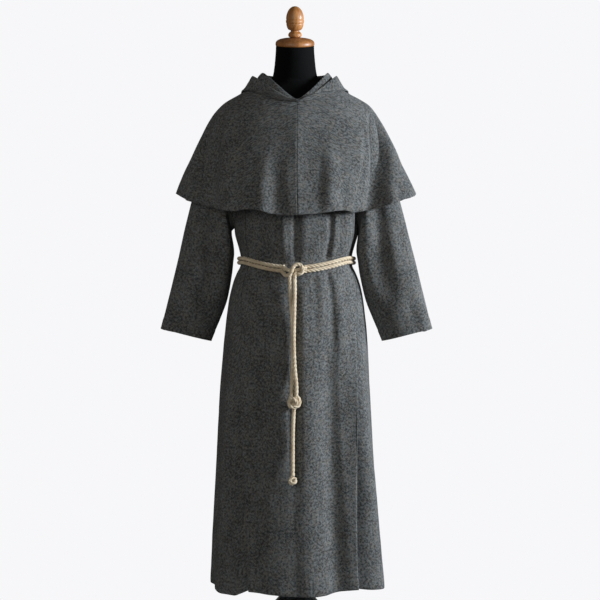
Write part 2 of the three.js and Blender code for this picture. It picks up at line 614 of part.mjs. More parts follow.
// A point of the hood: its first lines lie on the cape, and the others are its own.
function hoodPoint(line, angle) {
  const place = line * (HOOD_SEAT.length + HOOD.length - 1);
  const seatEnd = HOOD_SEAT.length - 1;
  const seated = (k) => {
    const row = HOOD_SEAT[k];
    const middle = Math.sin(rad(angle)) < 0 ? row.front : row.back;
    const v = lerp(middle, row.side, Math.cos(rad(angle)) ** 2);
    const cape = (u, w) => capePoint(w, 360 * u);
    return capePoint(v, angle).addScaledVector(normalAt(cape, angle / 360, v), -row.lift);
  };
  if (place >= seatEnd + 1) {
    return ringPoint(HOOD, (place - seatEnd - 1) / (HOOD.length - 1), angle, 0);
  }
  const k = Math.max(Math.floor(place), 0);
  const next = k < seatEnd ? seated(k + 1) : ringPoint(HOOD, 0, angle, 0);
  return seated(k).lerp(next, place - k);
}

function buildCapeAndHood() {
  const halves = [{ suffix: 'left', from: -90, to: 90 }, { suffix: 'right', from: 90, to: 270 }];
  for (const { suffix, from, to } of halves) {
    const cape = (u, v) => capePoint(v, lerp(from, to, u));
    const hood = (u, v) => hoodPoint(v, lerp(from, to, u));
    add(`cape_${suffix}`, cloth(cape, 28, CAPE.length - 1, { inwards: 1 }), WOOL);
    add(`hood_${suffix}`, cloth(hood, 28, HOOD_SEAT.length + HOOD.length - 1), WOOL);
  }
}

// ---- Rope belt ------------------------------------------------------------------------------

// A rope along hand-set or worked-out points, as a closed solid with flat ends.
function rope(points, steps, sides = 8, closed = false) {
  const path = new THREE.CatmullRomCurve3(points, closed, 'centripetal');
  if (closed) {
    return facingOut(mergedGeometry(new THREE.TubeGeometry(path, steps, ROPE / 2, sides, true)));
  }
  const section = new THREE.Shape();
  for (let k = 0; k < sides; k += 1) {
    const turn = (2 * Math.PI * k) / sides;
    const corner = [(ROPE / 2) * Math.cos(turn), (ROPE / 2) * Math.sin(turn)];
    if (k === 0) section.moveTo(...corner);
    else section.lineTo(...corner);
  }
  section.closePath();
  const tube = new THREE.ExtrudeGeometry(section, { steps, extrudePath: path, bevelEnabled: false });
  return facingOut(mergedGeometry(tube));
}

function mergedGeometry(geometry) {
  geometry.deleteAttribute('normal');
  geometry.deleteAttribute('uv');
  return mergeVertices(geometry, 1e-3);
}

const BELT_ENDS = { left: -84.7, right: 255.3 };
const BELT_STEPS = 76;

function beltPoints(lift) {
  const points = [];
  for (let k = 0; k <= BELT_STEPS; k += 1) {
    const angle = lerp(BELT_ENDS.left, BELT_ENDS.right, k / BELT_STEPS);
    const z = beltZ(angle) + lift;
    points.push(tunicPoint(angle, z, ROPE / 2 + ROPE_LIFT));
  }
  return points;
}

// A knot drawn as a closed threefold loop: its centre, its reach across and up, and its depth.
function knot(centre, across, up, depth, turn) {
  const points = Array.from({ length: 24 }, (_, k) => {
    const t = (2 * Math.PI * k) / 24 + rad(turn);
    return new THREE.Vector3(
      centre.x + across * (Math.sin(t) + 2 * Math.sin(2 * t)) / 3,
      centre.y - depth * Math.sin(3 * t),
      centre.z + up * (Math.cos(t) - 2 * Math.cos(2 * t)) / 3,
    );
  });
  return rope(points, 34, 7, true);
}

const WAIST_KNOT = { x: -12, y: -141.8, z: 1108 };
const MID_KNOT = { x: -7, y: -193, z: 731 };
const END_KNOT = { x: -10, y: -213, z: 508 };

// The two hanging ends, set by hand: side by side below the waist knot, one over the other
// half way, and apart again at the middle knot.
const FALL_LONG = [
  [-19, -147, 1085.7], [-17.5, -155, 1050], [-14.5, -162, 1000], [-11, -168, 940],
  [-10, -174, 880], [-11, -179, 820], [-13, -186, 780], [-14, -191, 746.7],
];
const FALL_SHORT = [
  [-5, -147, 1086.1], [-4.5, -158, 1050], [-5.5, -172.5, 1000], [-7, -180.5, 940],
  [-7, -186.5, 880], [-4, -190, 820], [0, -192, 780], [0, -193, 747.5],
];
const TAIL = [
  [-7, -193, 709.4], [-9, -195, 670], [-10, -196, 630], [-10, -200, 590], [-10, -207, 550],
  [-10, -212, 520.6],
];

const HANGING = ['rope_fall_long', 'rope_fall_short', 'rope_mid_knot', 'rope_tail', 'rope_end_knot'];

const asPoints = (rows) => rows.map(([x, y, z]) => new THREE.Vector3(x, y, z));

function buildRope() {
  add('rope_belt_upper', rope(beltPoints(ROPE / 2 + 0.2), 46), COTTON_ROPE);
  add('rope_belt_lower', rope(beltPoints(-ROPE / 2 - 0.2), 46), COTTON_ROPE);
  add('rope_waist_knot', knot(WAIST_KNOT, 25, 17, 8, 0), COTTON_ROPE);
  add('rope_fall_long', rope(asPoints(FALL_LONG), 14), COTTON_ROPE);
  add('rope_fall_short', rope(asPoints(FALL_SHORT), 14), COTTON_ROPE);
  add('rope_mid_knot', knot(MID_KNOT, 17, 16, 7.5, 0), COTTON_ROPE);
  add('rope_tail', rope(asPoints(TAIL), 9), COTTON_ROPE);
  add('rope_end_knot', knot(END_KNOT, 9, 9, 7.5, 0), COTTON_ROPE);
}

// ---- Dress form -----------------------------------------------------------------------------

const TORSO_SIDES = 28;

function buildForm() {
  const lean = Math.tan(rad(NECK_LEAN));
  const heights = [868, 874, 900, 940, 980, 1030, 1080, 1150, 1200, 1250, 1310, 1370, 1430, 1480,
    1525, 1560, 1580, 1592, 1603, 1612, 1624, 1636, 1658, 1674, 1684, 1694, 1714, 1735, NECK_TOP.z];
  const rings = heights.map((z) => {
    const at = (column) => read(TORSO, column, z);
    const aside = NECK_X * ramp(z, 1350, 1560);
    const tilt = lean * ramp(z, 1640, NECK_TOP.z);
    return Array.from({ length: TORSO_SIDES }, (_, j) => {
      const flat = oval((360 * j) / TORSO_SIDES, at('half'), at('front'), at('back'));
      return new THREE.Vector3(flat.x + aside, flat.y + at('shift'), z + tilt * flat.y);
    });
  });
  add('form_torso', stack(rings), JERSEY);

  const cap = new THREE.Group();
  cap.position.set(NECK_X, NECK_TOP.y, NECK_TOP.z);
  cap.rotation.x = rad(NECK_LEAN);
  group.add(cap);
  const capShape = [[0, 0.4], [56, 0.4], [58, 3], [58, 9], [56, 14], [48, 19], [34, 22.5],
    [16, 24.5], [0, 25]];
  cap.add(lathe('form_neck_cap', capShape, 28, TURNED_WOOD));
  const finialShape = [[0, 25.4], [14, 25.4], [19, 28.5], [20, 33.5], [18, 39], [13, 42.5], [12.5, 45],
    [19, 48.5], [23.5, 55], [26, 68], [26.3, 80], [24.5, 92], [20, 103], [14, 110.5], [7, 115], [0, 116.3]];
  cap.add(lathe('form_finial', finialShape, 20, TURNED_WOOD));

  const poleShape = [[0, 196], [16, 196], [16, 867.6], [0, 867.6]];
  group.add(lathe('form_pole', poleShape, 20, POLISHED_STEEL));
  const footShape = [[0, 0], [192, 0], [197, 5], [196, 12], [186, 22], [168, 34], [146, 49], [122, 68],
    [98, 88], [76, 108], [60, 125], [47, 141], [35, 158], [26, 176], [20, 195.6], [0, 195.6]];
  group.add(lathe('form_base', footShape, 32, POLISHED_STEEL));
}

function lathe(name, profile, segments, finish) {
  const geometry = new THREE.LatheGeometry(profile.map(([r, z]) => new THREE.Vector2(r, z)), segments);
  geometry.rotateX(Math.PI / 2);
  const mesh = new THREE.Mesh(facingOut(mergedGeometry(geometry)), new THREE.MeshStandardMaterial(finish));
  mesh.name = name;
  return mesh;
}

// The origin stands on the floor under the middle of the garment and its form, which the free
// ends of the rope have no part in.
function centreOnFloor() {
  group.updateMatrixWorld(true);
  const box = new THREE.Box3();
  group.traverse((part) => {
    if (part.isMesh && !HANGING.includes(part.name)) box.expandByObject(part, true);
  });
  const middle = box.getCenter(new THREE.Vector3());
  group.position.set(-middle.x, -middle.y, -box.min.z);
}

buildTunicAndSleeves();
buildCapeAndHood();
buildRope();
buildForm();
centreOnFloor();

export default group;
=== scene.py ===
"""A monk's habit of charcoal tweed on a limbless dress form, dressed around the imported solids.

The file follows the order in which the real thing is put together: the studio, the stand and
the form, the tunic and its sleeves, the cape, the hood and the rope. Shapes are worked out in
millimetres round the upright axis of the form, and put_mesh turns them into metres. Angles round
the figure are in degrees: 0 is the wearer's left side (+X), -90 the front, 90 the back.
"""

import bpy
import numpy as np
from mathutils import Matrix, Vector


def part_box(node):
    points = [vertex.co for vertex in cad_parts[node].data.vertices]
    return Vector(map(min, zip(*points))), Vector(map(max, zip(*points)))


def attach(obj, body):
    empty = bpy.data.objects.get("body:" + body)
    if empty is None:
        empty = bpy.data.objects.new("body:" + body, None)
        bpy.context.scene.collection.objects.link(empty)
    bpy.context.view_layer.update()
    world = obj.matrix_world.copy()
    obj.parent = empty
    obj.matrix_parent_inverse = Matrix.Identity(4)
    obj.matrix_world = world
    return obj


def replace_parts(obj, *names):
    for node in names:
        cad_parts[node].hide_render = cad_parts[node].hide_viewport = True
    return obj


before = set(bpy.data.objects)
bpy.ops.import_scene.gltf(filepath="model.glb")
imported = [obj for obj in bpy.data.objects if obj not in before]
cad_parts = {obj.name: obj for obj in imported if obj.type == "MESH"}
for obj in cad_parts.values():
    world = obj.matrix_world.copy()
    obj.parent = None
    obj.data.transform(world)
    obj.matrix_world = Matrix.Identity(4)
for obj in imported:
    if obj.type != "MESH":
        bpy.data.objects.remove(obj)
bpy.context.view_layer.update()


# ---- Studio ----
# A long lens looks level at the middle of the habit from a little under four metres. The room is
# white, with one window-like lamp high on the right and a weak, warmer one in front on the left.

pole_low, pole_high = (np.array(corner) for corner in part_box("form_pole"))
AXIS = (pole_low + pole_high) / 2 * (1, 1, 0)
CHEST = Vector((0, 0, 1.1))
MM = 0.001  # of a metre

camera_data = bpy.data.cameras.new("camera")
camera_data.lens = 78.0
camera_data.sensor_width = 36.0
camera = bpy.data.objects.new("camera", camera_data)
camera.location = AXIS + (0.0105, -3.9, 1.022)
camera.rotation_euler = (np.pi / 2, 0, 0)
bpy.context.scene.collection.objects.link(camera)
bpy.context.scene.camera = camera
bpy.context.scene.view_settings.view_transform = "Standard"


def lamp(name, place, size, power, colour):
    """A square lamp at a place, turned to face the chest of the form."""
    data = bpy.data.lights.new(name, "AREA")
    data.size = size
    data.energy = power
    data.color = colour
    lit = bpy.data.objects.new(name, data)
    lit.location = place
    lit.rotation_euler = (CHEST - lit.location).to_track_quat("-Z", "Y").to_euler()
    bpy.context.scene.collection.objects.link(lit)


lamp("window_lamp", (3.6, -0.85, 1.95), 0.9, 262, (0.9, 0.95, 1.0))
lamp("fill_lamp", (-1.3, -3.6, 1.8), 2.4, 37, (1.0, 0.97, 0.9))


class Value:
    """A shader socket reckoned with like a number: each step adds one Math node."""

    def __init__(self, paint, socket):
        self.paint = paint
        self.socket = socket

    def math(self, operation, *others):
        sockets = dict(enumerate((self, *others)))
        node = self.paint.node("Math", {"operation": operation}, sockets)
        return Value(self.paint, node.outputs[0])

    def __add__(self, other):
        return self.math("ADD", other)

    def __mul__(self, other):
        return self.math("MULTIPLY", other)

    __radd__ = __add__
    __rmul__ = __mul__

    def __sub__(self, other):
        return self.math("SUBTRACT", other)

    def __rsub__(self, other):
        return (self * -1).math("ADD", other)

    def __pow__(self, other):
        return self.math("POWER", other)

    def sine(self):
        return self.math("SINE")

    def size(self):
        return self.math("ABSOLUTE")

    def rest(self, step):
        """What is left over above the last whole step."""
        return self.math("FLOORED_MODULO", step)

    def ramp(self, low, high):
        """0 at low, 1 at high, and a soft slope between them."""
        sockets = {"Value": self, "From Min": low, "From Max": high}
        node = self.paint.node("MapRange", {"interpolation_type": "SMOOTHSTEP"}, sockets)
        return Value(self.paint, node.outputs["Result"])


class Paint:
    """A material, or the world, and its node tree."""

    def __init__(self, name, library="materials"):
        self.holder = getattr(bpy.data, library).new(name)
        self.holder.use_nodes = True
        self.tree = self.holder.node_tree
        self.tree.nodes.clear()

    def node(self, kind, settings=None, sockets=None):
        """Adds a shader node: first its settings, then a value or a link for each socket."""
        added = self.tree.nodes.new("ShaderNode" + kind)
        for key, value in (settings or {}).items():
            setattr(added, key, value)
        for key, value in (sockets or {}).items():
            socket = value.socket if isinstance(value, Value) else value
            if isinstance(socket, bpy.types.NodeSocket):
                self.tree.links.new(socket, added.inputs[key])
            elif isinstance(socket, tuple) and added.inputs[key].type == "RGBA":
                added.inputs[key].default_value = (*socket, 1.0)
            else:
                added.inputs[key].default_value = socket
        return added

    def parts(self, vector):
        """The three numbers of a vector socket."""
        split = self.node("SeparateXYZ", sockets={0: vector})
        return [Value(self, split.outputs[axis]) for axis in "XYZ"]

    def place(self):
        """Object coordinates, in metres."""
        return self.parts(self.node("TexCoord").outputs["Object"])

    def map(self, name):
        """The two coordinates of a named map of the piece."""
        return self.parts(self.node("UVMap", {"uv_map": name}).outputs["UV"])[:2]

    def noise(self, x, y, z=0.0, detail=2.0, roughness=0.5):
        """Soft cloudy noise, about 0.3 to 0.7, with one lump to each unit."""
        at = self.node("CombineXYZ", sockets={"X": x, "Y": y, "Z": z})
        sockets = {"Vector": at.outputs[0], "Scale": 1.0, "Detail": detail, "Roughness": roughness}
        return Value(self, self.node("TexNoise", sockets=sockets).outputs["Fac"])

    def mix(self, factor, first, second):
        """From the first colour at 0 to the second at 1."""
        sockets = {0: factor, 6: first, 7: second}
        return self.node("Mix", {"data_type": "RGBA"}, sockets).outputs[2]

    def bump(self, height, distance):
        """The surface's normal over a height field, which is distance deep in metres."""
        return self.node("Bump", sockets={"Height": height, "Distance": distance}).outputs["Normal"]

    def finish(self, **sockets):
        """Ends the tree in a Principled shader; names are written with _ for a space."""
        sockets = {key.replace("_", " "): value for key, value in sockets.items()}
        shader = self.node("BsdfPrincipled", sockets=sockets)
        self.node("OutputMaterial", sockets={"Surface": shader.outputs[0]})
        return self.holder


def white_room():
    """White to the eye of the camera, and a dimmer sky to the surfaces."""
    paint = Paint("white_room", "worlds")
    felt = paint.node("Background", sockets={"Color": (1.0, 0.99, 0.95), "Strength": 0.06})
    seen = paint.node("Background", sockets={"Color": (0.93, 0.93, 0.947)})
    to_camera = paint.node("LightPath").outputs["Is Camera Ray"]
    mixed = paint.node("MixShader", sockets={0: to_camera, 1: felt.outputs[0], 2: seen.outputs[0]})
    paint.node("OutputWorld", sockets={"Surface": mixed.outputs[0]})
    return paint.holder


bpy.context.scene.world = white_room()


# ---- Floor ----
# A pale round patch of studio floor under the stand. It fades into the white room at its rim.

def put_mesh(name, points, faces, material, maps=None):
    """A mesh object from points in mm round the form's axis, faces, and maps.

    A map holds a pair of numbers, in mm of cloth or rope, for each corner of each face.
    """
    mesh = bpy.data.meshes.new(name)
    mesh.from_pydata((points.reshape(-1, 3) * MM + AXIS).tolist(), [], faces)
    for map_name, pairs in (maps or {}).items():
        mesh.uv_layers.new(name=map_name).data.foreach_set("uv", pairs.ravel() * MM)
    mesh.polygons.foreach_set("use_smooth", np.ones(len(mesh.polygons), bool))
    mesh.materials.append(material)
    mesh.update()
    made = bpy.data.objects.new(name, mesh)
    bpy.context.scene.collection.objects.link(made)
    return made


FLOOR_RADIUS = 500
FLOOR_Z = -0.5


def pale_floor():
    """Matt paint with fine speckles, which turns clear from half the radius to the rim."""
    paint = Paint("pale_floor")
    x, y, _ = paint.place()
    away = (x * x + y * y) ** 0.5
    speckle = paint.noise(x * 300, y * 300)
    clear = paint.node("BsdfTransparent")
    colour = paint.mix(speckle, (0.78, 0.78, 0.79), (0.84, 0.84, 0.85))
    solid = paint.node("BsdfPrincipled", sockets={"Base Color": colour, "Roughness": 0.7})
    shown = 1 - away.ramp(FLOOR_RADIUS * MM * 0.5, FLOOR_RADIUS * MM * 0.98)
    mixed = paint.node("MixShader", sockets={0: shown, 1: clear.outputs[0], 2: solid.outputs[0]})
    paint.node("OutputMaterial", sockets={"Surface": mixed.outputs[0]})
    return paint.holder


turns = np.linspace(0, 2 * np.pi, 96, endpoint=False)
rim = np.column_stack([FLOOR_RADIUS * np.cos(turns), FLOOR_RADIUS * np.sin(turns), FLOOR_Z + 0 * turns])
put_mesh("floor", rim - AXIS / MM, [list(range(len(rim)))], pale_floor())


# ---- Pole and foot ----
# A polished steel foot, spun to a trumpet shape, stands on the floor and holds a steel pole of
# 32 mm, which runs up into the torso.

def walked(points, axis=0):
    """How far each point of a line or grid is from its first one, along the axis of the array."""
    steps = np.linalg.norm(np.diff(points, axis=axis), axis=-1)
    return np.concatenate([np.zeros_like(np.take(steps, [0], axis)), np.cumsum(steps, axis)], axis)


def smooth_line(knots, count, cuts=24):
    """A centripetal Catmull-Rom curve through given points, with evenly spaced points on it.

    Each stretch blends the lines through its four nearest points, by the square roots of their
    distances; the curve is then cut again into steps of equal length.
    """
    knots = np.asarray(knots, float)
    padded = np.vstack([2 * knots[0] - knots[1], knots, 2 * knots[-1] - knots[-2]])
    gaps = np.sqrt(np.linalg.norm(np.diff(padded, axis=0), axis=1))
    times = np.concatenate([[0], np.cumsum(gaps)])
    stretch = np.repeat(np.arange(len(knots) - 1), cuts)
    share = np.tile(np.arange(cuts) / cuts, len(knots) - 1)
    p = [padded[stretch + k] for k in range(4)]
    t = [times[stretch + k][:, None] for k in range(4)]
    at = t[1] + share[:, None] * (t[2] - t[1])

    def blend(first, last, start, end):
        return (first * (end - at) + last * (at - start)) / (end - start)

    low = [blend(p[k], p[k + 1], t[k], t[k + 1]) for k in range(3)]
    middle = [blend(low[k], low[k + 1], t[k], t[k + 2]) for k in range(2)]
    line = np.vstack([blend(middle[0], middle[1], t[1], t[2]), knots[-1:]])
    far = walked(line)
    even = np.linspace(0, far[-1], count)
    return np.column_stack([np.interp(even, far, line[:, k]) for k in range(line.shape[1])])


def tube(rows, columns):
    """The quads of a grid that closes round, as corner numbers.

    First those on the open grid, whose last column repeats the first, and then those on the
    closed one, which has no such column.
    """
    i, j = (part.ravel() for part in np.meshgrid(np.arange(rows - 1), np.arange(columns), indexing="ij"))
    wide = columns + 1
    corners = np.stack([(i + down) * wide + j + along for down, along in ((0, 0), (0, 1), (1, 1), (1, 0))], 1)
    return corners, corners // wide * columns + corners % wide % columns


def dressed(name, node, points, faces, material, maps=None):
    """A piece that rides on the one body and stands for a node of the solids."""
    piece = put_mesh(name, points, faces, material, maps)
    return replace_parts(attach(piece, "root"), node)


def turned(name, profile, count, material, node, sides=96, place=None):
    """A profile of (radius, height) pairs, smoothed and carried once round the upright axis."""
    line = smooth_line(profile, count)
    turn = np.linspace(0, 2 * np.pi, sides, endpoint=False)
    radius, height = line[1:-1, :1], line[1:-1, 1:]
    rings = np.stack([radius * np.cos(turn), radius * np.sin(turn), height + 0 * turn], axis=-1)
    points = np.vstack([rings.reshape(-1, 3), [[0, 0, line[0, 1]], [0, 0, line[-1, 1]]]])
    here = np.arange(sides)
    then = (here + 1) % sides
    last = (len(rings) - 1) * sides
    low_cap = np.stack([then, here, 0 * here + len(points) - 2], -1)
    high_cap = np.stack([last + here, last + then, 0 * here + len(points) - 1], -1)
    faces = tube(len(rings), sides)[1].tolist() + low_cap.tolist() + high_cap.tolist()
    dressed(name, node, place(points) if place else points, faces, material)


def polished_steel():
    """Spun steel: bright, with fine rings round it and a few faint smears."""
    paint = Paint("polished_steel")
    x, y, z = paint.place()
    rings = paint.noise(z * 900, (x * x + y * y) ** 0.5 * 900, detail=1.0)
    smear = paint.noise(x * 14, y * 14, z * 20)
    colour = paint.mix(smear.ramp(0.35, 0.7), (0.63, 0.64, 0.66), (0.72, 0.73, 0.74))
    return paint.finish(
        Base_Color=colour, Metallic=1.0, Roughness=0.16 + 0.12 * smear,
        Normal=paint.bump(rings, 0.00003))


steel = polished_steel()
POLE = [[0, 196], [15, 196], [16, 197], [16, 300], [16, 500], [16, 700], [16, 866.6], [15, 867.6], [0, 867.6]]
FOOT = [
    [0, 0], [100, 0], [170, 0], [188, 0.1], [193, 1], [196, 3.4], [197, 7], [195, 13], [186, 22],
    [168, 34], [146, 49], [122, 68], [98, 88], [76, 108], [60, 125], [47, 141], [35, 158], [26, 176],
    [20.5, 193], [19, 195.6], [0, 195.6],
]
turned("steel_pole", POLE, 90, steel, "form_pole")
turned("steel_foot", FOOT, 110, steel, "form_base", sides=160)


# ---- Torso ----
# The limbless body of the form: a padded shell under black knitted jersey, pulled tight. Only its
# neck and its underside show. Its neck leans forwards and a little to the wearer's right.

def smooth_step(value, low, high):
    """0 at low, 1 at high, and a soft slope between them."""
    t = np.clip((value - low) / (high - low), 0, 1)
    return t * t * (3 - 2 * t)


def turn_of(angle):
    """The cosine and the sine of an angle in degrees."""
    return np.cos(np.radians(angle)), np.sin(np.radians(angle))


def read(table, column, at):
    """A column of a table at any places: a cubic between rows that never overshoots them.

    The slope at a row is the harmonic mean of the slopes on its two sides, or level where they
    differ in sign and at both ends. Rows with no places of their own are spread from 0 to 1.
    """
    y = np.asarray(table[column], float)
    x = np.asarray(table.get("at", np.linspace(0, 1, len(y))), float)
    slope = np.diff(y) / np.diff(x)
    product = slope[:-1] * slope[1:]
    tangent = np.zeros(len(x))
    both = np.where(product > 0, slope[:-1] + slope[1:], 1)
    tangent[1:-1] = np.where(product > 0, 2 * product / both, 0)
    i = np.clip(np.searchsorted(x, at, side="right") - 1, 0, len(x) - 2)
    span = x[i + 1] - x[i]
    t = np.clip((at - x[i]) / span, 0, 1)
    return ((2 * t ** 3 - 3 * t ** 2 + 1) * y[i] + (t ** 3 - 2 * t ** 2 + t) * span * tangent[i]
            + (3 * t ** 2 - 2 * t ** 3) * y[i + 1] + (t ** 3 - t ** 2) * span * tangent[i + 1])


def read_all(table, columns, at):
    """Several columns of a table, named in one line."""
    return [read(table, column, at) for column in columns.split()]


def oval(angle, half, front, back, out=0.0):
    """X and Y on an oval whose front and back differ in depth, pushed out along its normal."""
    c, s = turn_of(angle)
    depth = np.where(s < 0, front, back)
    length = np.hypot(c * depth, s * half)
    return c * half + out * c * depth / length, s * depth + out * s * half / length


NECK_LEAN = 16
NECK_X = -4.5
NECK_TOP = (-20, 1780)
TORSO = {
    "at": [868, 874, 900, 980, 1080, 1150, 1250, 1370, 1480, 1560, 1592, 1612, 1636, 1658, 1674, 1694,
           1735, 1780],
    "half": [96, 126, 152, 160, 143, 134, 144, 158, 172, 184, 187, 177, 145, 102.5, 75, 66, 60, 57],
    "front": [74, 98, 112, 114, 104, 98, 108, 116, 108, 94, 86, 80, 73, 67, 62, 60, 58, 57],
    "back": [82, 106, 124, 132, 108, 98, 106, 116, 116, 104, 93, 86, 78.5, 71, 64, 61, 58, 57],
    "shift": [0] * 14 + [-1, -5, -12, -20],
}


def black_jersey():
    """Fine knitted ribs, one every 1.6 mm round the body, with a little lint on them."""
    paint = Paint("black_jersey")
    round_it, up = paint.map("cloth")
    rib = (round_it * (2 * np.pi / 0.0016)).sine()
    stitch = (up * (2 * np.pi / 0.0012)).sine()
    lint = paint.noise(round_it * 700, up * 700, detail=4.0)
    colour = paint.mix(lint.ramp(0.55, 0.8), (0.0006, 0.0008, 0.001), (0.004, 0.0046, 0.0056))
    return paint.finish(
        Base_Color=colour, Roughness=0.8, Specular_IOR_Level=0.09, Sheen_Weight=0.02,
        Sheen_Roughness=0.5, Normal=paint.bump(rib * 0.5 + stitch * 0.3 + lint, 0.0002))


def build_torso():
    """Ovals of the table by height, moved over at the shoulders; up the neck they lean forwards.

    The rings are joined by quads and closed by a flat face at each end, and their map is the
    length walked round them and up them.
    """
    stretches = ((868, 900, 10), (910, 1560, 66), (1566, 1780, 44))
    heights = np.concatenate([np.linspace(*stretch) for stretch in stretches])
    z, angle = np.meshgrid(heights, np.linspace(0, 360, 121), indexing="ij")
    x, y = oval(angle, *read_all(TORSO, "half front back", z))
    lean = np.tan(np.radians(NECK_LEAN)) * smooth_step(z, 1640, NECK_TOP[1]) * y
    aside = NECK_X * smooth_step(z, 1350, 1560)
    rings = np.stack([x + aside, y + read(TORSO, "shift", z), z + lean], -1)
    rows, columns = len(rings), rings.shape[1] - 1
    flat = np.stack([walked(rings, 1), walked(rings)], -1).reshape(-1, 2)
    corners, faces = tube(rows, columns)
    last = (rows - 1) * columns
    caps = [list(range(columns - 1, -1, -1)), list(range(last, last + columns))]
    maps = np.vstack([flat[corners.ravel()], np.zeros((2 * columns, 2))])
    dressed("jersey_torso", "form_torso", rings[:, :-1], faces.tolist() + caps, black_jersey(),
            {"cloth": maps})


build_torso()


# ---- Neck cap and finial ----
# A turned and oiled wooden disc closes the neck, and a turned finial stands on it. Both lean
# forwards with the neck.

def turned_wood(name, light, dark):
    """Straight grain up the turning, with darker pores drawn out along it and fine tool rings."""
    paint = Paint(name)
    x, y, z = paint.place()
    streak = paint.noise(x * 160, y * 160, z * 18, detail=3.0)
    pore = paint.noise(x * 900, y * 900, z * 60).ramp(0.56, 0.72)
    cloud = paint.noise(x * 30, y * 30, z * 14)
    ring = paint.noise(z * 1100, 0.0, detail=1.0)
    grain = paint.mix((streak * 0.7 + cloud * 0.5).ramp(0.42, 0.78), dark, light)
    colour = paint.mix(pore * 0.55, grain, tuple(part * 0.4 for part in dark))
    return paint.finish(
        Base_Color=colour, Roughness=0.34 + 0.25 * streak, Coat_Weight=0.18 * cloud,
        Coat_Roughness=0.15, Normal=paint.bump(streak * 0.5 + ring * 0.3 - pore, 0.00012))


def on_the_neck(points):
    """Leans a turning forwards and stands it on the top of the neck."""
    c, s = turn_of(NECK_LEAN)
    x, y, z = points.T
    tilted = np.column_stack([x, y * c - z * s, y * s + z * c])
    return tilted + (NECK_X, *NECK_TOP)


CAP = [
    [0, 0.4], [54, 0.4], [56.8, 1.2], [58, 3.4], [58, 8], [57, 12], [54.5, 15.2], [48, 19], [34, 22.5],
    [16, 24.5], [0, 25],
]
FINIAL = [
    [0, 25.4], [14, 25.4], [18.3, 27.4], [20, 31], [19.6, 35.5], [17, 39.6], [13.6, 42.2], [12.4, 43.8],
    [13, 45.6], [18.4, 47.6], [21.4, 51], [23.8, 56], [25.5, 65], [25, 66.6], [26.5, 68.2], [26.8, 72],
    [26.6, 75.6], [25.3, 77], [26.2, 78.6], [26, 84], [24.6, 92], [20.4, 102.6], [14.4, 110.2], [7.4, 114.8],
    [0, 116.3],
]
turned("neck_cap", CAP, 60, turned_wood("oiled_cap", (0.44, 0.185, 0.058), (0.25, 0.097, 0.028)),
       "form_neck_cap", place=on_the_neck)
turned("finial", FINIAL, 90, turned_wood("oiled_finial", (0.54, 0.24, 0.075), (0.32, 0.125, 0.034)),
       "form_finial", sides=72, place=on_the_neck)


# ---- Tunic ----
# The long tunic: a front, a back and two side panels of charcoal wool tweed, sewn with pressed
# princess seams. It hangs from the shoulders of the form and is drawn in by the rope.

CLOTH = 2.0
HEM_Z = 181
WAIST_Z = 1140
NECK_Z, NECK_FRONT, NECK_BACK = 1674, 1592, 1650
BELT_DIP = 29
BELT_PRESS = 32
KNOT_ANGLE = -92
TUNIC = {
    "at": [170, 272, 422, 572, 722, 872, 1010, 1070, 1105, 1124, 1140, 1156, 1180, 1226, 1300, 1400, 1500,
           1560, 1592, 1612, 1636, 1658, 1676],
    "half": [260, 254, 244, 234, 226, 217, 203, 190.5, 177.5, 168, 165.5, 167.5, 174, 186, 190, 192, 196,
             201, 204, 193, 153, 110, 82],
    "front": [224, 216, 204, 192, 180, 168, 153, 144, 132, 127.5, 127, 128, 133, 141, 143, 139, 124,
              108, 98, 90, 81, 74, 69],
    "back": [224, 219, 210, 200, 190, 180, 166, 153, 138, 129, 128, 129, 135, 144, 146, 142, 132,
             118, 107, 99, 88, 80, 73],
    "shift": [2, 0, -3, -5, -5, -3, -1] + [0] * 7 + [-1, -3] + [-5] * 7,
}
SEAMS = {
    "at": [170, 613, 905, 1140, 1275, 1350, 1590],
    "front_left": [50, 44, 36.5, 20, 33, 34, 0],
    "front_right": [57, 49, 41.5, 32, 38, 36, 0],
    "back": [52, 47, 42, 32, 36, 35, 0],
}

# The folds: the angle of each, its half width in degrees, how far it stands out in mm, and the
# heights between which it grows and dies away.
FOLDS = [
    (-84, 6, 5, 1110, 1040, 940, 840),
    (-90, 6, -9, 1090, 760, 560, 460),
    (-63, 9, -11, 1110, 800, 120, 0),
    (-103, 8, 5, 1100, 900, 640, 460),
    (-115, 7, -4, 1100, 640, 120, 0),
    (-73, 5, -3, 1120, 1080, 960, 860),
    (-67, 5, 1.5, 1120, 1080, 960, 860),
    (-58, 5, -6, 1130, 1090, 940, 820),
    (-51, 6, 2, 1120, 1080, 900, 760),
    (-24, 13, 5, 1100, 600, 100, 0),
    (-31, 14, 26, 860, 460, 40, 0),
    (-80, 12, 8, 1000, 760, 160, 0),
    (-150, 11, 8, 1060, 560, 100, 0),
    (-165, 9, -7, 1020, 520, 100, 0),
    (-90.2, 5.5, -8, 1100, 1160, 1300, 1430),
    (-79, 6, 2, 1100, 1170, 1300, 1430),
    (-101.5, 5.5, 4, 1110, 1180, 1300, 1430),
    (-78, 4, -2, 1120, 1160, 1220, 1300),
    (-119, 9, -8, 1100, 1180, 1290, 1420),
    (-57.5, 5, -8, 1100, 1150, 1290, 1420),
    (-51, 5, 3, 1110, 1170, 1290, 1420),
    (-36, 16, 12, 1110, 1180, 1290, 1420),
    (88, 12, 8, 1120, 820, 120, 0),
    (68, 9, -7, 1110, 760, 120, 0),
    (106, 10, -7, 1110, 840, 120, 0),
    (40, 12, 9, 1090, 620, 120, 0),
    (136, 13, 9, 1090, 560, 120, 0),
]

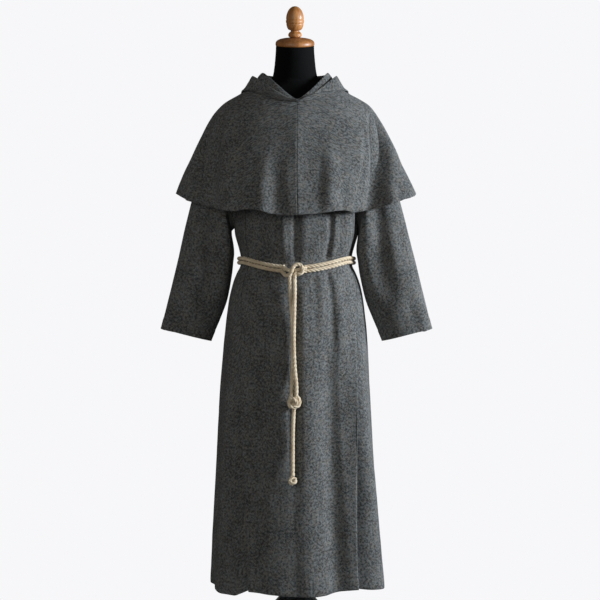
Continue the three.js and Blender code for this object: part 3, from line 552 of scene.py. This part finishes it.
# Along each front seam: how deep it lies and how far the edge of the front panel stands proud,
# both at the hem, and the half width of the hollow on the side panel.
SEAM_EDGES = {"left": (20, 34, 12), "right": (16, 7, 10)}
HEM = {
    "at": [-180, -165, -154, -146, -134, -129, -123, -117, -105, -90, -80, -72, -66, -59, -51, -48,
           -38, -22, -10, 0],
    "z": [181, 180, 175.5, 170.5, 171.5, 180, 190, 188.5, 184.5, 181.5, 181.5, 183.5, 187, 192, 196, 191,
          185, 182.5, 180.5, 181],
}


def hump(distance, width):
    """1 in the middle and 0 beyond the half width: the square of one minus the square."""
    return (1 - np.minimum(np.abs(distance) / width, 1) ** 2) ** 2


def between(a, b):
    """The shorter way round from angle b to angle a."""
    return np.mod(a - b + 180, 360) - 180


def belt_z(angle):
    """The height of the rope: level round the back, and sinking to the knot in front."""
    return WAIST_Z - BELT_DIP * hump(between(angle, KNOT_ANGLE), 70)


# The angle of each seam at a height. The last is the front right one again, a turn further.
SEAM_AT = {
    "front_right": lambda z: read(SEAMS, "front_right", z) - 180,
    "front_left": lambda z: -read(SEAMS, "front_left", z),
    "back_left": lambda z: read(SEAMS, "back", z),
    "back_right": lambda z: 180 - read(SEAMS, "back", z),
    "next_front_right": lambda z: read(SEAMS, "front_right", z) - 180 + 360,
}


def seam_edge(away, z, deep, proud, width):
    """The front panel stands proud of a seam and turns sharply down to it.

    The side panel rises softly from it. away is the angle from the seam towards the side, and
    all of it grows with the distance below the waist.
    """
    down = smooth_step(WAIST_Z - z, 60, WAIST_Z - HEM_Z)
    deep = 3 + deep * down
    proud = proud * smooth_step(WAIST_Z - z, 80, 480)
    grown = smooth_step(WAIST_Z - z, 10, 260)
    front = proud * (1 - np.minimum(np.abs(away) / 20, 1)) ** 2 - (proud + deep) * hump(away, 1.3)
    return grown * np.where(away > 0, -deep * hump(away, width), front)


def tunic_fold(angle, z):
    """How far the tunic stands in or out.

    The humps of its folds, none under the rope, and the edges along the front seams, which grow
    downwards.
    """
    out = 0 * z
    for middle, width, height, start, full, ebb, end in FOLDS:
        grown = smooth_step((z - start) / (full - start), 0, 1) * smooth_step((z - end) / (ebb - end), 0, 1)
        out = out + height * hump(between(angle, middle), width) * grown
    out = out * (1 - hump(z - belt_z(angle), BELT_PRESS))
    out = out + seam_edge(between(angle, SEAM_AT["front_left"](z)), z, *SEAM_EDGES["left"])
    return out + seam_edge(between(SEAM_AT["front_right"](z), angle), z, *SEAM_EDGES["right"])


def tunic_point(angle, z, out=0.0):
    """An oval of the table, read a little higher in front where the rope has sunk, plus folds."""
    sunk = z + (WAIST_Z - belt_z(angle)) * (1 - smooth_step(np.abs(z - WAIST_Z), 50, 260))
    x, y = oval(angle, *read_all(TUNIC, "half front back", sunk), tunic_fold(angle, z) + out)
    return np.stack([x + read(TUNIC, "shift", z), y, z + 0 * x], -1)


def hem_z(angle):
    """The hem is level behind; in front it rises at the two seams and dips beside them."""
    angle = between(angle, 0)
    return np.where(angle < 0, read(HEM, "z", angle), HEM_Z)


def neck_z(angle):
    """The neckline, low in front, higher behind and highest at the sides."""
    c, s = turn_of(angle)
    low = np.where(s < 0, NECK_FRONT, NECK_BACK)
    return low + (NECK_Z - low) * np.abs(c) ** np.where(s < 0, 3, 2)


def edged(count):
    """Even steps from 0 to 1, with a few close ones at either end for pressed edges."""
    close = np.array([0, 0.0035, 0.008])
    return np.concatenate([close, np.linspace(0.014, 0.986, count), 1 - close[::-1]])


def unit(vectors):
    """Vectors of length 1 the same way."""
    return vectors / np.maximum(np.linalg.norm(vectors, axis=-1, keepdims=True), 1e-9)


WAVES, WAVE_COUNT, LONGEST = np.random.default_rng(11), 22, 150
WAVE_WAYS = unit(WAVES.normal(size=(WAVE_COUNT, 3)) * (1, 1, 0.34))
WAVE_LENGTHS = WAVES.uniform(34, LONGEST, WAVE_COUNT)
WAVE_STARTS = WAVES.uniform(0, 2 * np.pi, WAVE_COUNT)


def unevenness(points):
    """Small soft swellings of worn cloth: many slanting sine waves added up.

    A longer wave is higher in proportion, and the last divisor brings the sum to about 1.
    """
    waves = np.sin(2 * np.pi * (points @ WAVE_WAYS.T) / WAVE_LENGTHS + WAVE_STARTS)
    return waves @ (WAVE_LENGTHS / LONGEST) / 4.2


def grid_normals(face, turn, wrap):
    """Unit normals of a grid, from its slopes both ways. turn is 1 or -1, for the outer side."""
    across = np.gradient(face, axis=1)
    if wrap:
        across[:, 0] = across[:, -1] = (face[:, 1] - face[:, -2]) / 2
    return unit(np.cross(across, np.gradient(face, axis=0)) * turn)


def wall_quads(keep, turn, wrap):
    """Corner numbers of a wall between two like grids.

    Each kept cell gives a quad outside and one inside, and each edge that it shares with a
    missing cell gives a quad across the wall.
    """
    rows, columns = keep.shape[0] + 1, keep.shape[1] + 1
    i, j = np.nonzero(keep)

    def corner(place, inside):
        return inside * rows * columns + (i + place[0]) * columns + j + place[1]

    outer = np.stack([corner(place, 0) for place in ((0, 0), (0, 1), (1, 1), (1, 0))], 1)
    inner = np.stack([corner(place, 1) for place in ((0, 0), (1, 0), (1, 1), (0, 1))], 1)
    quads = [outer, inner]
    padded = np.pad(np.pad(keep, ((1, 1), (0, 0))), ((0, 0), (1, 1)), mode="wrap" if wrap else "constant")
    sides = (
        ((0, -1), (0, 0), (1, 0)), ((0, 1), (1, 1), (0, 1)),
        ((-1, 0), (0, 1), (0, 0)), ((1, 0), (1, 0), (1, 1)),
    )
    for (down, along), a, b in sides:
        bare = ~padded[i + 1 + down, j + 1 + along]
        strip = np.stack([corner(a, 0), corner(b, 0), corner(b, 1), corner(a, 1)], 1)
        quads.append(strip[bare])
    quads = np.vstack(quads)
    return quads if turn > 0 else quads[:, ::-1]


# A seam and a hem in mm: the depth and half width of the groove at a seam, how far the cloth
# stands up over the turnings behind it and how wide they are, the depth of the hem's turning and
# what it adds to the cloth. Where no seam is near, the map of the edges says FAR.
GROOVE, GROOVE_HALF = 1.3, 2.6
STAND, TURNING = 0.4, 10
HEM_TURNING, HEM_THICK = 36, 1.2
FAR = 500.0


def sewn(name, node, face, turn, wrap=False, keep=None, hem_row=0,
         full=1.0, pressed=1.0):
    """A cloth wall of the grid, with pressed seams at its sides and a turned hem, as a sheet.

    The grid sinks in a groove at a seam, stands up a little over the turnings beside it, swells
    unevenly by up to full mm, and thickens at its hem. Beside a pressed seam it moves straight
    out from the axis, as its neighbour does, so the two edges stay together; pressed is 1 there,
    or less for a flatter seam. keep says which cells of the grid are cloth. The cloth's map
    measures up each column from the hem, and across square to the columns.
    """
    along = walked(face)
    hem = along if hem_row == 0 else along[-1:] - along
    across = walked(face, 1)
    down = unit(np.gradient(face, axis=0))[:, 1:]
    step = np.diff(face, axis=1)
    step = step - down * np.sum(step * down, -1, keepdims=True)
    square = np.cumsum(np.pad(np.linalg.norm(step, axis=-1), ((0, 0), (1, 0))), 1)
    seam = np.full(hem.shape, FAR) if wrap else np.minimum(across, across[:, -1:] - across)
    turning = STAND * (1 - smooth_step(seam, TURNING, TURNING + 5)) * smooth_step(seam, 1, 4)
    hemline = STAND * (1 - smooth_step(hem, HEM_TURNING - 4, HEM_TURNING + 4)) * smooth_step(hem, 0, 3)
    lift = pressed * (turning - GROOVE * hump(seam, GROOVE_HALF)) + hemline + full * unevenness(face)
    outward = unit(face * (1, 1, 0))
    own = smooth_step(seam, 1, 7) if pressed == 1 else np.ones_like(seam)
    way = outward + (grid_normals(face, turn, wrap) - outward) * own[..., None]
    face = face + way * lift[..., None]
    if wrap:
        face[:, -1] = face[:, 0]
    wall = CLOTH + HEM_THICK * (1 - smooth_step(hem, HEM_TURNING - 6, HEM_TURNING))
    inner = face - grid_normals(face, turn, wrap) * wall[..., None]
    if keep is None:
        keep = np.ones((face.shape[0] - 1, face.shape[1] - 1), bool)
    quads = wall_quads(keep, turn, wrap)
    columns = face.shape[1]
    joined = quads - (quads % columns == columns - 1) * (columns - 1) * wrap
    used, corners = np.unique(joined, return_inverse=True)
    middle = square - square[:, columns // 2:columns // 2 + 1]
    here = quads.ravel() % face[..., 0].size
    maps = {
        "cloth": np.stack([middle, hem], -1).reshape(-1, 2)[here],
        # The seam distance in the edges map sets the painted seam shade of the tweed; a less pressed seam is
        # set further off, so it gets less of it.
        "edges": np.stack([seam + 4 * (1 - pressed), hem], -1).reshape(-1, 2)[here],
    }
    points = np.stack([face, inner]).reshape(-1, 3)[used]
    piece = dressed(name, node, points, corners.reshape(-1, 4).tolist(), tweed, maps)
    piece.data.polygons.foreach_set("use_smooth", np.arange(len(quads)) < 2 * keep.sum())


def charcoal_tweed():
    """Salt-and-pepper wool in a broken herringbone.

    Dark and light yarns mix in soft flecks of 5 to 10 mm, drawn out along a rib that changes
    sides every 14 mm; fine yarns cross them, and a few light slubs and dark specks are spun in.
    Shade is painted in: the cloth is darker in the seam grooves and, faintly, along the stitched line above
    the hem.
    """
    paint = Paint("charcoal_tweed")
    across, down = paint.map("cloth")
    seam, hem = paint.map("edges")
    side = (across.rest(0.028) - 0.014).ramp(-0.0006, 0.0006) * 2 - 1
    slant = down * side
    rib_way = across + slant
    other_way = across - slant
    dash = paint.noise(rib_way * 190, other_way * 75)
    fleck = paint.noise(across * 150, down * 150, 3.0, detail=3.0, roughness=0.6)
    speck = paint.noise(across * 420, down * 420, 7.0)
    cloud = paint.noise(across * 22, down * 15, 5.0)
    tint = paint.noise(across * 60, down * 60, 9.0)
    yarn = (rib_way * (2 * np.pi / 0.0034)).sine()
    pick = (other_way * (2 * np.pi / 0.0017)).sine()
    tone = (dash - 0.5) * 1.5 + (fleck - 0.5) * 2.4 + (speck - 0.5) * 1.2
    tone = tone + (cloud - 0.5) * 0.7 + yarn * 0.05
    tone = (tone + 0.5).ramp(-0.07, 1.07)
    cool = paint.mix(tone, (0.029, 0.034, 0.037), (0.181, 0.197, 0.204))
    warm = paint.mix(tone, (0.034, 0.033, 0.031), (0.195, 0.19, 0.18))
    wool = paint.mix(tint.ramp(0.35, 0.65), cool, warm)
    # Painted shade: the colour darkens in the seam grooves and along the hem's stitch line, where shade would
    # fall.
    painted_seam_shade = 1 - seam.ramp(0.0004, 0.0026)
    painted_stitch_shade = 1 - (hem - HEM_TURNING * MM).size().ramp(0.0, 0.0014)
    colour = paint.mix(painted_seam_shade * 0.6 + painted_stitch_shade * 0.05, wool, (0.012, 0.013, 0.014))
    weave = yarn * 0.5 + pick * 0.25 + (speck - 0.5) * 2 + (fleck - 0.5) * 1.4
    return paint.finish(
        Base_Color=colour, Roughness=0.92, Specular_IOR_Level=0.2, Sheen_Weight=0.12,
        Sheen_Roughness=0.6, Sheen_Tint=(0.7, 0.74, 0.78), Normal=paint.bump(weave, 0.0005))


tweed = charcoal_tweed()


# ---- Sleeves ----
# Two wide straight sleeves, set into the armholes. They hang a little away from the sides, with
# the break of an empty elbow and a deep open cuff.

SLEEVE = {
    "out_x": [150, 200, 229, 249, 268, 290, 313, 336, 357, 378, 393, 404],
    "out_z": [1604, 1603, 1589.2, 1551, 1480, 1393, 1301, 1209, 1125, 1041, 981, 938],
    "in_x": [150, 180, 192, 190.5, 187, 185.5, 189.5, 197, 208.5, 230, 246, 258],
    "in_z": [1246, 1240, 1226, 1205, 1185, 1160, 1127, 1080, 1026, 968, 930, 900.5],
    "depth": [84, 85, 84, 82, 80, 77, 73, 69, 66, 63, 61, 59],
    "shift": [-5, -5, -5, -5, -4, -3, -2, -1, 0, 0, 0, 0],
}

# Angle round the sleeve (0 outer edge, -90 front), place along it, half widths in both, and out.
SLEEVE_FOLDS = [
    (-140, 0.5, 22, 0.3, 8),
    (-88, 0.47, 35, 0.21, -19),
    (-102, 0.66, 34, 0.2, -14),
    (-30, 0.52, 25, 0.3, 9),
    (-42, 0.94, 30, 0.36, 11),
    (-172, 0.5, 34, 0.1, -3),
    (84, 0.76, 26, 0.36, -7),
    (122, 0.66, 26, 0.26, 4),
]


def sleeve_point(side, angle, along, inset=0.0):
    """Ovals across the line from the outer to the inner edge, with the folds pressed in."""
    out_x, out_z, in_x, in_z, depth, shift = read_all(SLEEVE, "out_x out_z in_x in_z depth shift", along)
    half = np.hypot(out_x - in_x, out_z - in_z) / 2
    fold = sum(out * hump(between(angle, middle), width) * hump(along - place, reach)
               for middle, place, width, reach, out in SLEEVE_FOLDS)
    wide, deep = oval(angle, half - inset, depth - inset, depth - inset, fold)
    x = (out_x + in_x) / 2 + wide * (out_x - in_x) / 2 / half
    z = (out_z + in_z) / 2 + wide * (out_z - in_z) / 2 / half
    return np.stack([side * x + shift, deep + 0 * x, z], -1)


def beyond_tunic(points):
    """How far points are outside the tunic's surface, as a share of its width, below 0 inside."""
    x, y, z = np.moveaxis(points, -1, 0)
    half, front, back, shift = read_all(TUNIC, "half front back shift", z)
    depth = np.where(y < 0, front, back)
    angle = np.degrees(np.arctan2(y / depth, (x - shift) / half))
    edge = tunic_point(angle, z)
    return np.hypot(x - shift, y) / np.hypot(edge[..., 0] - shift, edge[..., 1]) - 1


def armhole(side, angle):
    """Where along the sleeve each line of it comes out of the tunic, by halving the stretch."""
    low, high = 0 * angle, 0 * angle + 0.5
    for _ in range(22):
        middle = (low + high) / 2
        inside = beyond_tunic(sleeve_point(side, angle, middle)) < -0.004
        low, high = np.where(inside, middle, low), np.where(inside, high, middle)
    return low


def in_sleeve(side, points):
    """True where a point lies inside the sleeve's tube, a few mm clear of its cloth."""
    stations = np.linspace(0, 0.6, 90)
    top, front, low = (sleeve_point(side, 0 * stations + turn, stations, 3.5) for turn in (0, -90, 180))
    x, y, z = (part[..., None] for part in np.moveaxis(points, -1, 0))
    way = low - top
    long = np.linalg.norm(way, axis=-1)
    aside = ((x - top[:, 0]) * way[:, 2] - (z - top[:, 2]) * way[:, 0]) / long
    share = ((x - top[:, 0]) * way[:, 0] + (z - top[:, 2]) * way[:, 2]) / long ** 2
    near = np.abs(aside) + 1000 * (np.abs(share - 0.5) > 0.5)
    best = np.argmin(near, axis=-1)[..., None]
    wide = np.take_along_axis(share, best, -1)[..., 0] * 2 - 1
    deep = y[..., 0] / np.abs(front[best[..., 0], 1])
    return (np.take_along_axis(near, best, -1)[..., 0] < 6) & (wide ** 2 + deep ** 2 < 1)


def build_panel(name, node, start, end, columns):
    """A tunic panel: columns spread between its two seams, rows from the hem to the neckline.

    Columns and rows crowd towards the edges, and the rows keep level where panels meet. Cells
    that lie inside a sleeve or past the shoulder point are left out.
    """
    start, end = SEAM_AT[start], SEAM_AT[end]
    u, v = np.meshgrid(edged(columns), edged(280))
    rough_z = HEM_Z + (NECK_Z - HEM_Z) * v
    rough = start(rough_z) + (end(rough_z) - start(rough_z)) * u
    z = hem_z(rough) + (neck_z(rough) - hem_z(rough)) * v
    face = tunic_point(start(z) + (end(z) - start(z)) * u, z)
    middle = (face[:-1, :-1] + face[1:, 1:]) / 2
    wide = np.linalg.norm(face[:, -1] - face[:, 0], axis=-1)[:-1, None]
    keep = ~(in_sleeve(1, middle) | in_sleeve(-1, middle)) & (wide > 4)
    sewn(name, node, face, 1, keep=keep)


build_panel("front_panel", "tunic_front", "front_right", "front_left", 96)
build_panel("back_panel", "tunic_back", "back_left", "back_right", 88)
build_panel("left_side_panel", "tunic_side_left", "front_left", "back_left", 56)
build_panel("right_side_panel", "tunic_side_right", "back_right", "next_front_right", 56)

# A sleeve is a tube of rows from the armhole seam down to the cuff, closed round the arm.
for side, name, node in ((1, "left_sleeve", "sleeve_left"), (-1, "right_sleeve", "sleeve_right")):
    angle, v = np.meshgrid(np.linspace(-180, 180, 121), edged(150))
    start = armhole(side, angle[0])
    sewn(name, node, sleeve_point(side, angle, start + (1 - start) * v), side,
         wrap=True, hem_row=-1, full=0.8)


# ---- Cape ----
# The shoulder cape: two flared halves of the same tweed, sewn down the middle of the front and
# of the back. It lies on the shoulders and hangs free.

CAPE = {
    "side_out": [94, 128, 165, 196, 223, 240, 261, 288, 312, 338, 360],
    "side_z": [1677, 1659.5, 1638.5, 1622, 1604, 1584, 1550, 1496, 1444, 1392, 1341],
    "front_out": [95, 105, 116, 125, 134, 141, 150, 160, 169, 179, 190],
    "front_z": [1606, 1589, 1566, 1541, 1516, 1490, 1452, 1408, 1362, 1315, 1267],
    "back_out": [86, 98, 112, 124, 134, 141, 149, 157, 166, 175, 185],
    "back_z": [1670, 1653, 1627, 1597, 1566, 1535, 1492, 1440, 1388, 1337, 1283],
    "rise": [1.45, 1.4, 1.45, 1.9, 2.3, 2.5, 2.7, 2.7, 2.7, 2.7, 2.7],
    "shift": [-5] * 9 + [-4, -2],
}

# The angle at the neckline and at the hem, half width, how far out at the hem, and where from
# neck to hem it starts and is full.
CAPE_FOLDS = [
    (-189, -139, 17, -38, 0.3, 0.75),
    (-118, -105, 7, 6, 0.5, 1),
    (-106, -99.5, 7.5, -10, 0.5, 1),
    (-80, -80, 10, -1.5, 0.35, 1),
    (-60, -74, 7, 13, 0.35, 1),
    (-7, -61, 5, -6, 0.42, 0.75),
    (8, -62, 24, -28, 0.64, 1),
    (12, -50.5, 12, -25, 0.42, 0.68),
    (-2, -24, 12, 15, 0.46, 0.78),
    (44, 44, 9, -13, 0.4, 1),
    (63, 63, 9, 7, 0.5, 1),
    (86, 86, 8, -8, 0.6, 1),
    (108, 108, 11, 8, 0.5, 1),
    (134, 134, 9, -14, 0.4, 1),
]

# How far the cape and the hood stand over to the wearer's left in front, and how far the cape's
# hem rides up or hangs lower round the front.
FRONT_SHIFT = 5.5
CAPE_HEM = {
    "at": [-180, -150, -138, -123, -112, -104, -96, -88, -80, -68, -60, -45, -35, -9, 0],
    "lift": [0, -6, -6.5, -3.5, 10, 4.5, -3.5, -1, 2, 8.5, -2, -3, 2.5, -5, 0],
}


def ring_point(table, line, angle, out=0.0):
    """A line round the neck: an oval of the table, whose height climbs towards the shoulder.

    line runs down the table from 0 to 1; the climb is a power of the cosine. In front the line
    stands a little to one side.
    """
    x, y = oval(angle, *read_all(table, "side_out front_out back_out", line), out)
    front_z, back_z, side_z, rise, shift = read_all(table, "front_z back_z side_z rise shift", line)
    c, s = turn_of(angle)
    middle = np.where(s < 0, front_z, back_z)
    aside = shift + FRONT_SHIFT * smooth_step(-s, 0, 1)
    return np.stack([x + aside, y, middle + (side_z - middle) * np.abs(c) ** rise], -1)


def keel(line, angle):
    """The cape's front stands out along its middle seam like a blunt keel.

    It is 7 mm high and 70 mm to each side at the neck, and 3 and 22 mm at the hem.
    """
    low = smooth_step(line, 0.3, 0.8)
    c, s = turn_of(angle)
    aside = np.abs(c * read(CAPE, "side_out", line) - 4)
    share = 1 - np.minimum(aside / (70 - 48 * low), 1)
    return np.where(s < 0, (7 - 4 * low) * share ** 1.5, 0)


def cape_point(line, angle):
    """A ring of the cape with its keel and its folds, each of which grows towards the hem."""
    out = keel(line, angle)
    for top, low, width, height, start, full in CAPE_FOLDS:
        path = top + (low - top) * line
        out = out + height * hump(between(angle, path), width) * smooth_step(line, start, full)
    point = ring_point(CAPE, line, angle, out)
    point[..., 2] += read(CAPE_HEM, "lift", between(angle, 0)) * smooth_step(line, 0.7, 1)
    return point


# Each half runs from the neck seam, row 0, to the hem, between its two middle seams.
for name, node, start in (("left_cape_half", "cape_left", -90), ("right_cape_half", "cape_right", 90)):
    u, v = np.meshgrid(edged(180), edged(110))
    sewn(name, node, cape_point(v, start + 180 * u), -1,
         hem_row=-1, full=0.8, pressed=0.05)


# ---- Hood ----
# The hood, folded down round the neck: two halves joined over the crown. Its under layer lies on
# the cape, and its face edge turns over a soft outer crest to a second, inner one.

# Each line of the under layer: where on the cape it lies, from neck to hem, at the side, in front
# and behind, and how many mm above it.
HOOD_SEAT = [
    (0.03, 0.008, 0.04, 1.4),
    (0.07, 0.014, 0.17, 2.3),
    (0.105, 0.02, 0.31, 2.7),
    (0.14, 0.026, 0.45, 2.7),
    (0.172, 0.032, 0.58, 2.5),
    (0.178, 0.036, 0.6, 6),
]
HOOD = {
    "side_out": [149, 137, 126.5, 117, 108, 98.5, 91],
    "side_z": [1658, 1677, 1693, 1682, 1693, 1702, 1694],
    "front_out": [104, 104.5, 104, 103, 102, 100.5, 98.5],
    "front_z": [1602.5, 1604, 1605.5, 1606.5, 1607.5, 1608.5, 1608],
    "back_out": [188, 186, 152, 128, 113, 98, 88],
    "back_z": [1508, 1592, 1660, 1682, 1700, 1711, 1704],
    "rise": [2.0, 1.8, 1.5, 1.4, 1.35, 1.3, 1.3],
    "shift": [-6, -6, -6, -5, -5, -4, -4],
}


def hood_seat(angle, side, front, back, lift):
    """A line of the under layer: a line of the cape, raised along the cape's own normal."""
    c, s = turn_of(angle)
    middle = np.where(s < 0, front, back)
    line = middle + (side - middle) * c ** 2
    across = cape_point(line, angle + 0.3) - cape_point(line, angle - 0.3)
    down = cape_point(line + 0.001, angle) - cape_point(line - 0.001, angle)
    return cape_point(line, angle) + lift * unit(np.cross(down, across))


def hood_grid(angles, rows):
    """Lines from the neck seam out to the lower fold, up to the crest and in to the face edge.

    The rows between them follow Catmull-Rom curves through the lines, all with even steps.
    """
    steps = np.linspace(0, 1, len(HOOD["rise"]))
    lines = np.stack([hood_seat(angles, *seat) for seat in HOOD_SEAT]
                     + [ring_point(HOOD, 0 * angles + step, angles) for step in steps])
    place = rows * (len(lines) - 1)
    flat = lines.reshape(len(lines), -1)
    i = np.clip(place.astype(int), 0, len(lines) - 2)
    t = (place - i)[:, None]
    before, after = flat[np.maximum(i - 1, 0)], flat[np.minimum(i + 2, len(lines) - 1)]
    here, then = flat[i], flat[i + 1]
    curve = here + 0.5 * t * (then - before + t * (2 * before - 5 * here + 4 * then - after
                                                   + t * (3 * (here - then) + after - before)))
    return curve.reshape(len(place), len(angles), 3)


# Each half runs from the front point to the crown seam at the back, or the other way round.
for name, node, start in (("left_hood_half", "hood_left", -90), ("right_hood_half", "hood_right", 90)):
    sewn(name, node, hood_grid(start + 180 * edged(150), edged(90)), 1,
         hem_row=-1, full=0.5, pressed=0.4)


# ---- Rope ----
# One length of soft cotton rope, 12 mm thick and laid from three strands. It goes twice round the
# waist, is knotted in front, and its two ends hang down to a shared knot and a last one.

# All in mm: its thickness, how far it lies above the cloth, the space between its two turns, the
# length of one turn of a strand, a strand's radius and sides, and the steps along it. The belt
# runs from one side of the knot to the other between two angles.
ROPE = 12
ROPE_LIFT = 0.4
TURN_SPACE = 0.4
LAY = 37
STRAND = 3.15
STRAND_SIDES = 10
STATION = 2.6
BELT_ENDS = (-82, 258)


def carried(line):
    """Two directions square to a line at each of its points, which turn with it and never twist."""
    way = np.gradient(line, axis=0)
    way /= np.linalg.norm(way, axis=1, keepdims=True)
    side = np.cross(way[0], (0.31, 0.9, 0.2))
    sides = []
    for tangent in way:
        side = side - tangent * (side @ tangent)
        side = side / np.linalg.norm(side)
        sides.append(side)
    sides = np.array(sides)
    return sides, np.cross(way, sides)


def laid(line):
    """Three strands wound round a line: the points and the map of one rope.

    Each strand runs on a helix at the rope's radius less its own, and its round section stands
    square to its own way.
    """
    first, second = carried(line)
    far = walked(line)
    phase = 2 * np.pi * (far[None] / LAY + np.arange(3)[:, None] / 3)
    out = first * np.cos(phase)[..., None] + second * np.sin(phase)[..., None]
    centre = line + out * (ROPE / 2 - STRAND)
    across = unit(np.cross(np.gradient(centre, axis=1), out))
    round_it = np.linspace(0, 2 * np.pi, STRAND_SIDES + 1)
    ring = (out[:, :, None] * np.cos(round_it)[:, None] + across[:, :, None] * np.sin(round_it)[:, None])
    points = centre[:, :, None] + STRAND * ring
    map_u = np.broadcast_to(far[None, :, None], points.shape[:3])
    map_v = np.broadcast_to(round_it * STRAND, points.shape[:3])
    return points, np.stack([map_u, map_v], -1)


def rope_piece(name, node, *lines):
    """One mesh of laid ropes along smooth lines, each strand closed round and at its ends."""
    points, faces, maps, used = [], [], [], 0
    for knots in lines:
        line = spaced(knots)
        strands, flat = laid(line)
        count = len(line)
        corners, joined = (
            (quads + np.arange(3)[:, None, None] * count * wide).reshape(-1, 4)[:, ::-1]
            for quads, wide in zip(tube(count, STRAND_SIDES), (STRAND_SIDES + 1, STRAND_SIDES)))
        ends = (np.arange(3)[:, None] * count + [0, count - 1]).ravel()
        rims = ends[:, None] * STRAND_SIDES + np.arange(STRAND_SIDES)
        rims[1::2] = rims[1::2, ::-1]
        faces += (joined + used).tolist() + (rims + used).tolist()
        points.append(strands[:, :, :-1].reshape(-1, 3))
        maps.append(np.vstack([flat.reshape(-1, 2)[corners.ravel()], np.zeros((rims.size, 2))]))
        used += len(points[-1])
    return dressed(name, node, np.vstack(points), faces, cotton, {"lay": np.vstack(maps)})


def cotton_rope():
    """Natural cotton: yarns slant round each strand, with painted shade: cream on top and tan between them.
    """
    paint = Paint("cotton_rope")
    along, round_it = paint.map("lay")
    x, y, z = paint.place()
    yarn = ((along * 0.9 + round_it) * (2 * np.pi / 0.0017)).sine()
    soil = paint.noise(x * 45, y * 45, z * 45, detail=3.0)
    fuzz = paint.noise(x * 1500, y * 1500, z * 1500)
    # Painted shade: the yarn term lightens each yarn's raised top and darkens the groove between yarns.
    tone = (yarn * 0.22 + (soil - 0.5) * 1.3 + (fuzz - 0.5) * 0.8 + 0.55).ramp(0.0, 1.0)
    colour = paint.mix(tone, (0.55, 0.42, 0.27), (0.86, 0.75, 0.575))
    return paint.finish(
        Base_Color=colour, Roughness=0.85, Specular_IOR_Level=0.25, Sheen_Weight=0.2,
        Sheen_Roughness=0.5, Normal=paint.bump(yarn * 0.6 + fuzz, 0.0004))


cotton = cotton_rope()


def spaced(knots):
    """A smooth line through given points, with a station every few millimetres."""
    knots = np.asarray(knots, float)
    rough = smooth_line(knots, 200)
    long = np.linalg.norm(np.diff(rough, axis=0), axis=1).sum()
    return smooth_line(knots, max(int(long / STATION), 8))


def belt(lift):
    """Round the waist on the cloth, from one side of the knot to the other."""
    angle = np.linspace(*BELT_ENDS, 90)
    return tunic_point(angle, belt_z(angle) + lift, ROPE / 2 + ROPE_LIFT)


# The waist knot: the left-hand rope rolls into a low lobe, up across the front and down round
# the right-hand one, which goes through behind it; the two ends come down from its middle.
WAIST_WRAP = [
    (-41, -134, 1105), (-36, -140, 1098), (-30, -145, 1093), (-22, -150, 1094), (-15, -153.5, 1102),
    (-11, -153.5, 1113), (-5, -151, 1121.5), (4, -149, 1125), (13, -148, 1122), (18, -147, 1113),
    (17, -146, 1103), (10, -145, 1097.5), (1, -143, 1097), (-6, -139, 1101),
]
WAIST_UPPER = [(-41, -134.5, 1119), (-31, -138, 1113), (-21, -139, 1107), (-10, -137, 1106)]
WAIST_THROUGH = [
    (28, -135, 1118), (20, -138.5, 1114), (9, -141.5, 1110.5), (-2, -142.5, 1109), (-10, -142, 1109),
]
WAIST_BACK = [(28, -134, 1106), (16, -136, 1105), (4, -136.5, 1103.5), (-6, -136.5, 1103)]
LONG_HEAD = [(-8, -139, 1108), (-14, -143, 1100), (-18, -146, 1092), (-19, -147, 1085.7)]
SHORT_HEAD = [(0, -139, 1106), (-2, -143.5, 1099), (-4.5, -146, 1092), (-5, -147, 1086.1)]
FALL_LONG = [
    (-19, -147, 1085.7), (-17.5, -155, 1050), (-14.5, -162, 1000), (-11, -168, 940), (-10, -174, 880),
    (-11, -179, 820), (-13, -186, 780), (-14, -191, 746.7),
]
FALL_SHORT = [
    (-5, -147, 1086.1), (-4.5, -158, 1050), (-5.5, -172.5, 1000), (-7, -180.5, 940), (-7, -186.5, 880),
    (-4, -190, 820), (0, -192, 780), (0, -193, 747.5),
]
MIDDLE_LONG = [
    (-14, -191, 746.7), (-17, -193, 740), (-20.5, -196, 731), (-19, -200, 721.5), (-9, -203, 716.5),
    (2, -202, 719), (9, -199.5, 727), (7, -196.5, 737), (-1, -193, 742), (-9, -189, 737), (-10, -187, 727),
    (-7.5, -190, 717), (-7, -193, 709.4),
]
MIDDLE_SHORT = [
    (0, -193, 747.5), (6, -190, 741), (9, -187.5, 733), (5, -186, 724), (-5, -187, 719.5), (-15, -190, 722),
    (-19, -193, 731), (-14, -198.5, 739.5), (-5, -202, 738), (1, -203, 730), (-2, -200, 721), (-6, -195, 714),
]
TAIL = [
    (-7, -193, 709.4), (-9, -195, 670), (-10, -196, 630), (-10, -200, 590), (-10, -207, 550),
    (-10, -212, 520.6),
]
END_KNOT = [
    (-10, -212, 520.6), (-13.5, -212.5, 515.5), (-17.5, -214, 509), (-14, -218, 503), (-6, -218.5, 504.5),
    (-2.5, -215, 511), (-7, -210.5, 515), (-13, -208.5, 510.5), (-12, -211, 503.5), (-8, -212, 498.5),
]

rope_piece("belt_upper_turn", "rope_belt_upper", belt((ROPE + TURN_SPACE) / 2))
rope_piece("belt_lower_turn", "rope_belt_lower", belt(-(ROPE + TURN_SPACE) / 2))
rope_piece("waist_knot", "rope_waist_knot",
           WAIST_WRAP, WAIST_UPPER, WAIST_THROUGH, WAIST_BACK, LONG_HEAD, SHORT_HEAD)
middle_knot = rope_piece("middle_knot", "rope_mid_knot", MIDDLE_LONG, MIDDLE_SHORT)
end_knot = rope_piece("end_knot", "rope_end_knot", END_KNOT)


def hanging(name, node, knots):
    """A free stretch of the rope, from one knot down to the next."""
    piece = rope_piece(name, node, knots)
    path = spaced(knots) * MM + AXIS


hanging("long_fall", "rope_fall_long", FALL_LONG)
hanging("short_fall", "rope_fall_short", FALL_SHORT)
hanging("tail", "rope_tail", TAIL)
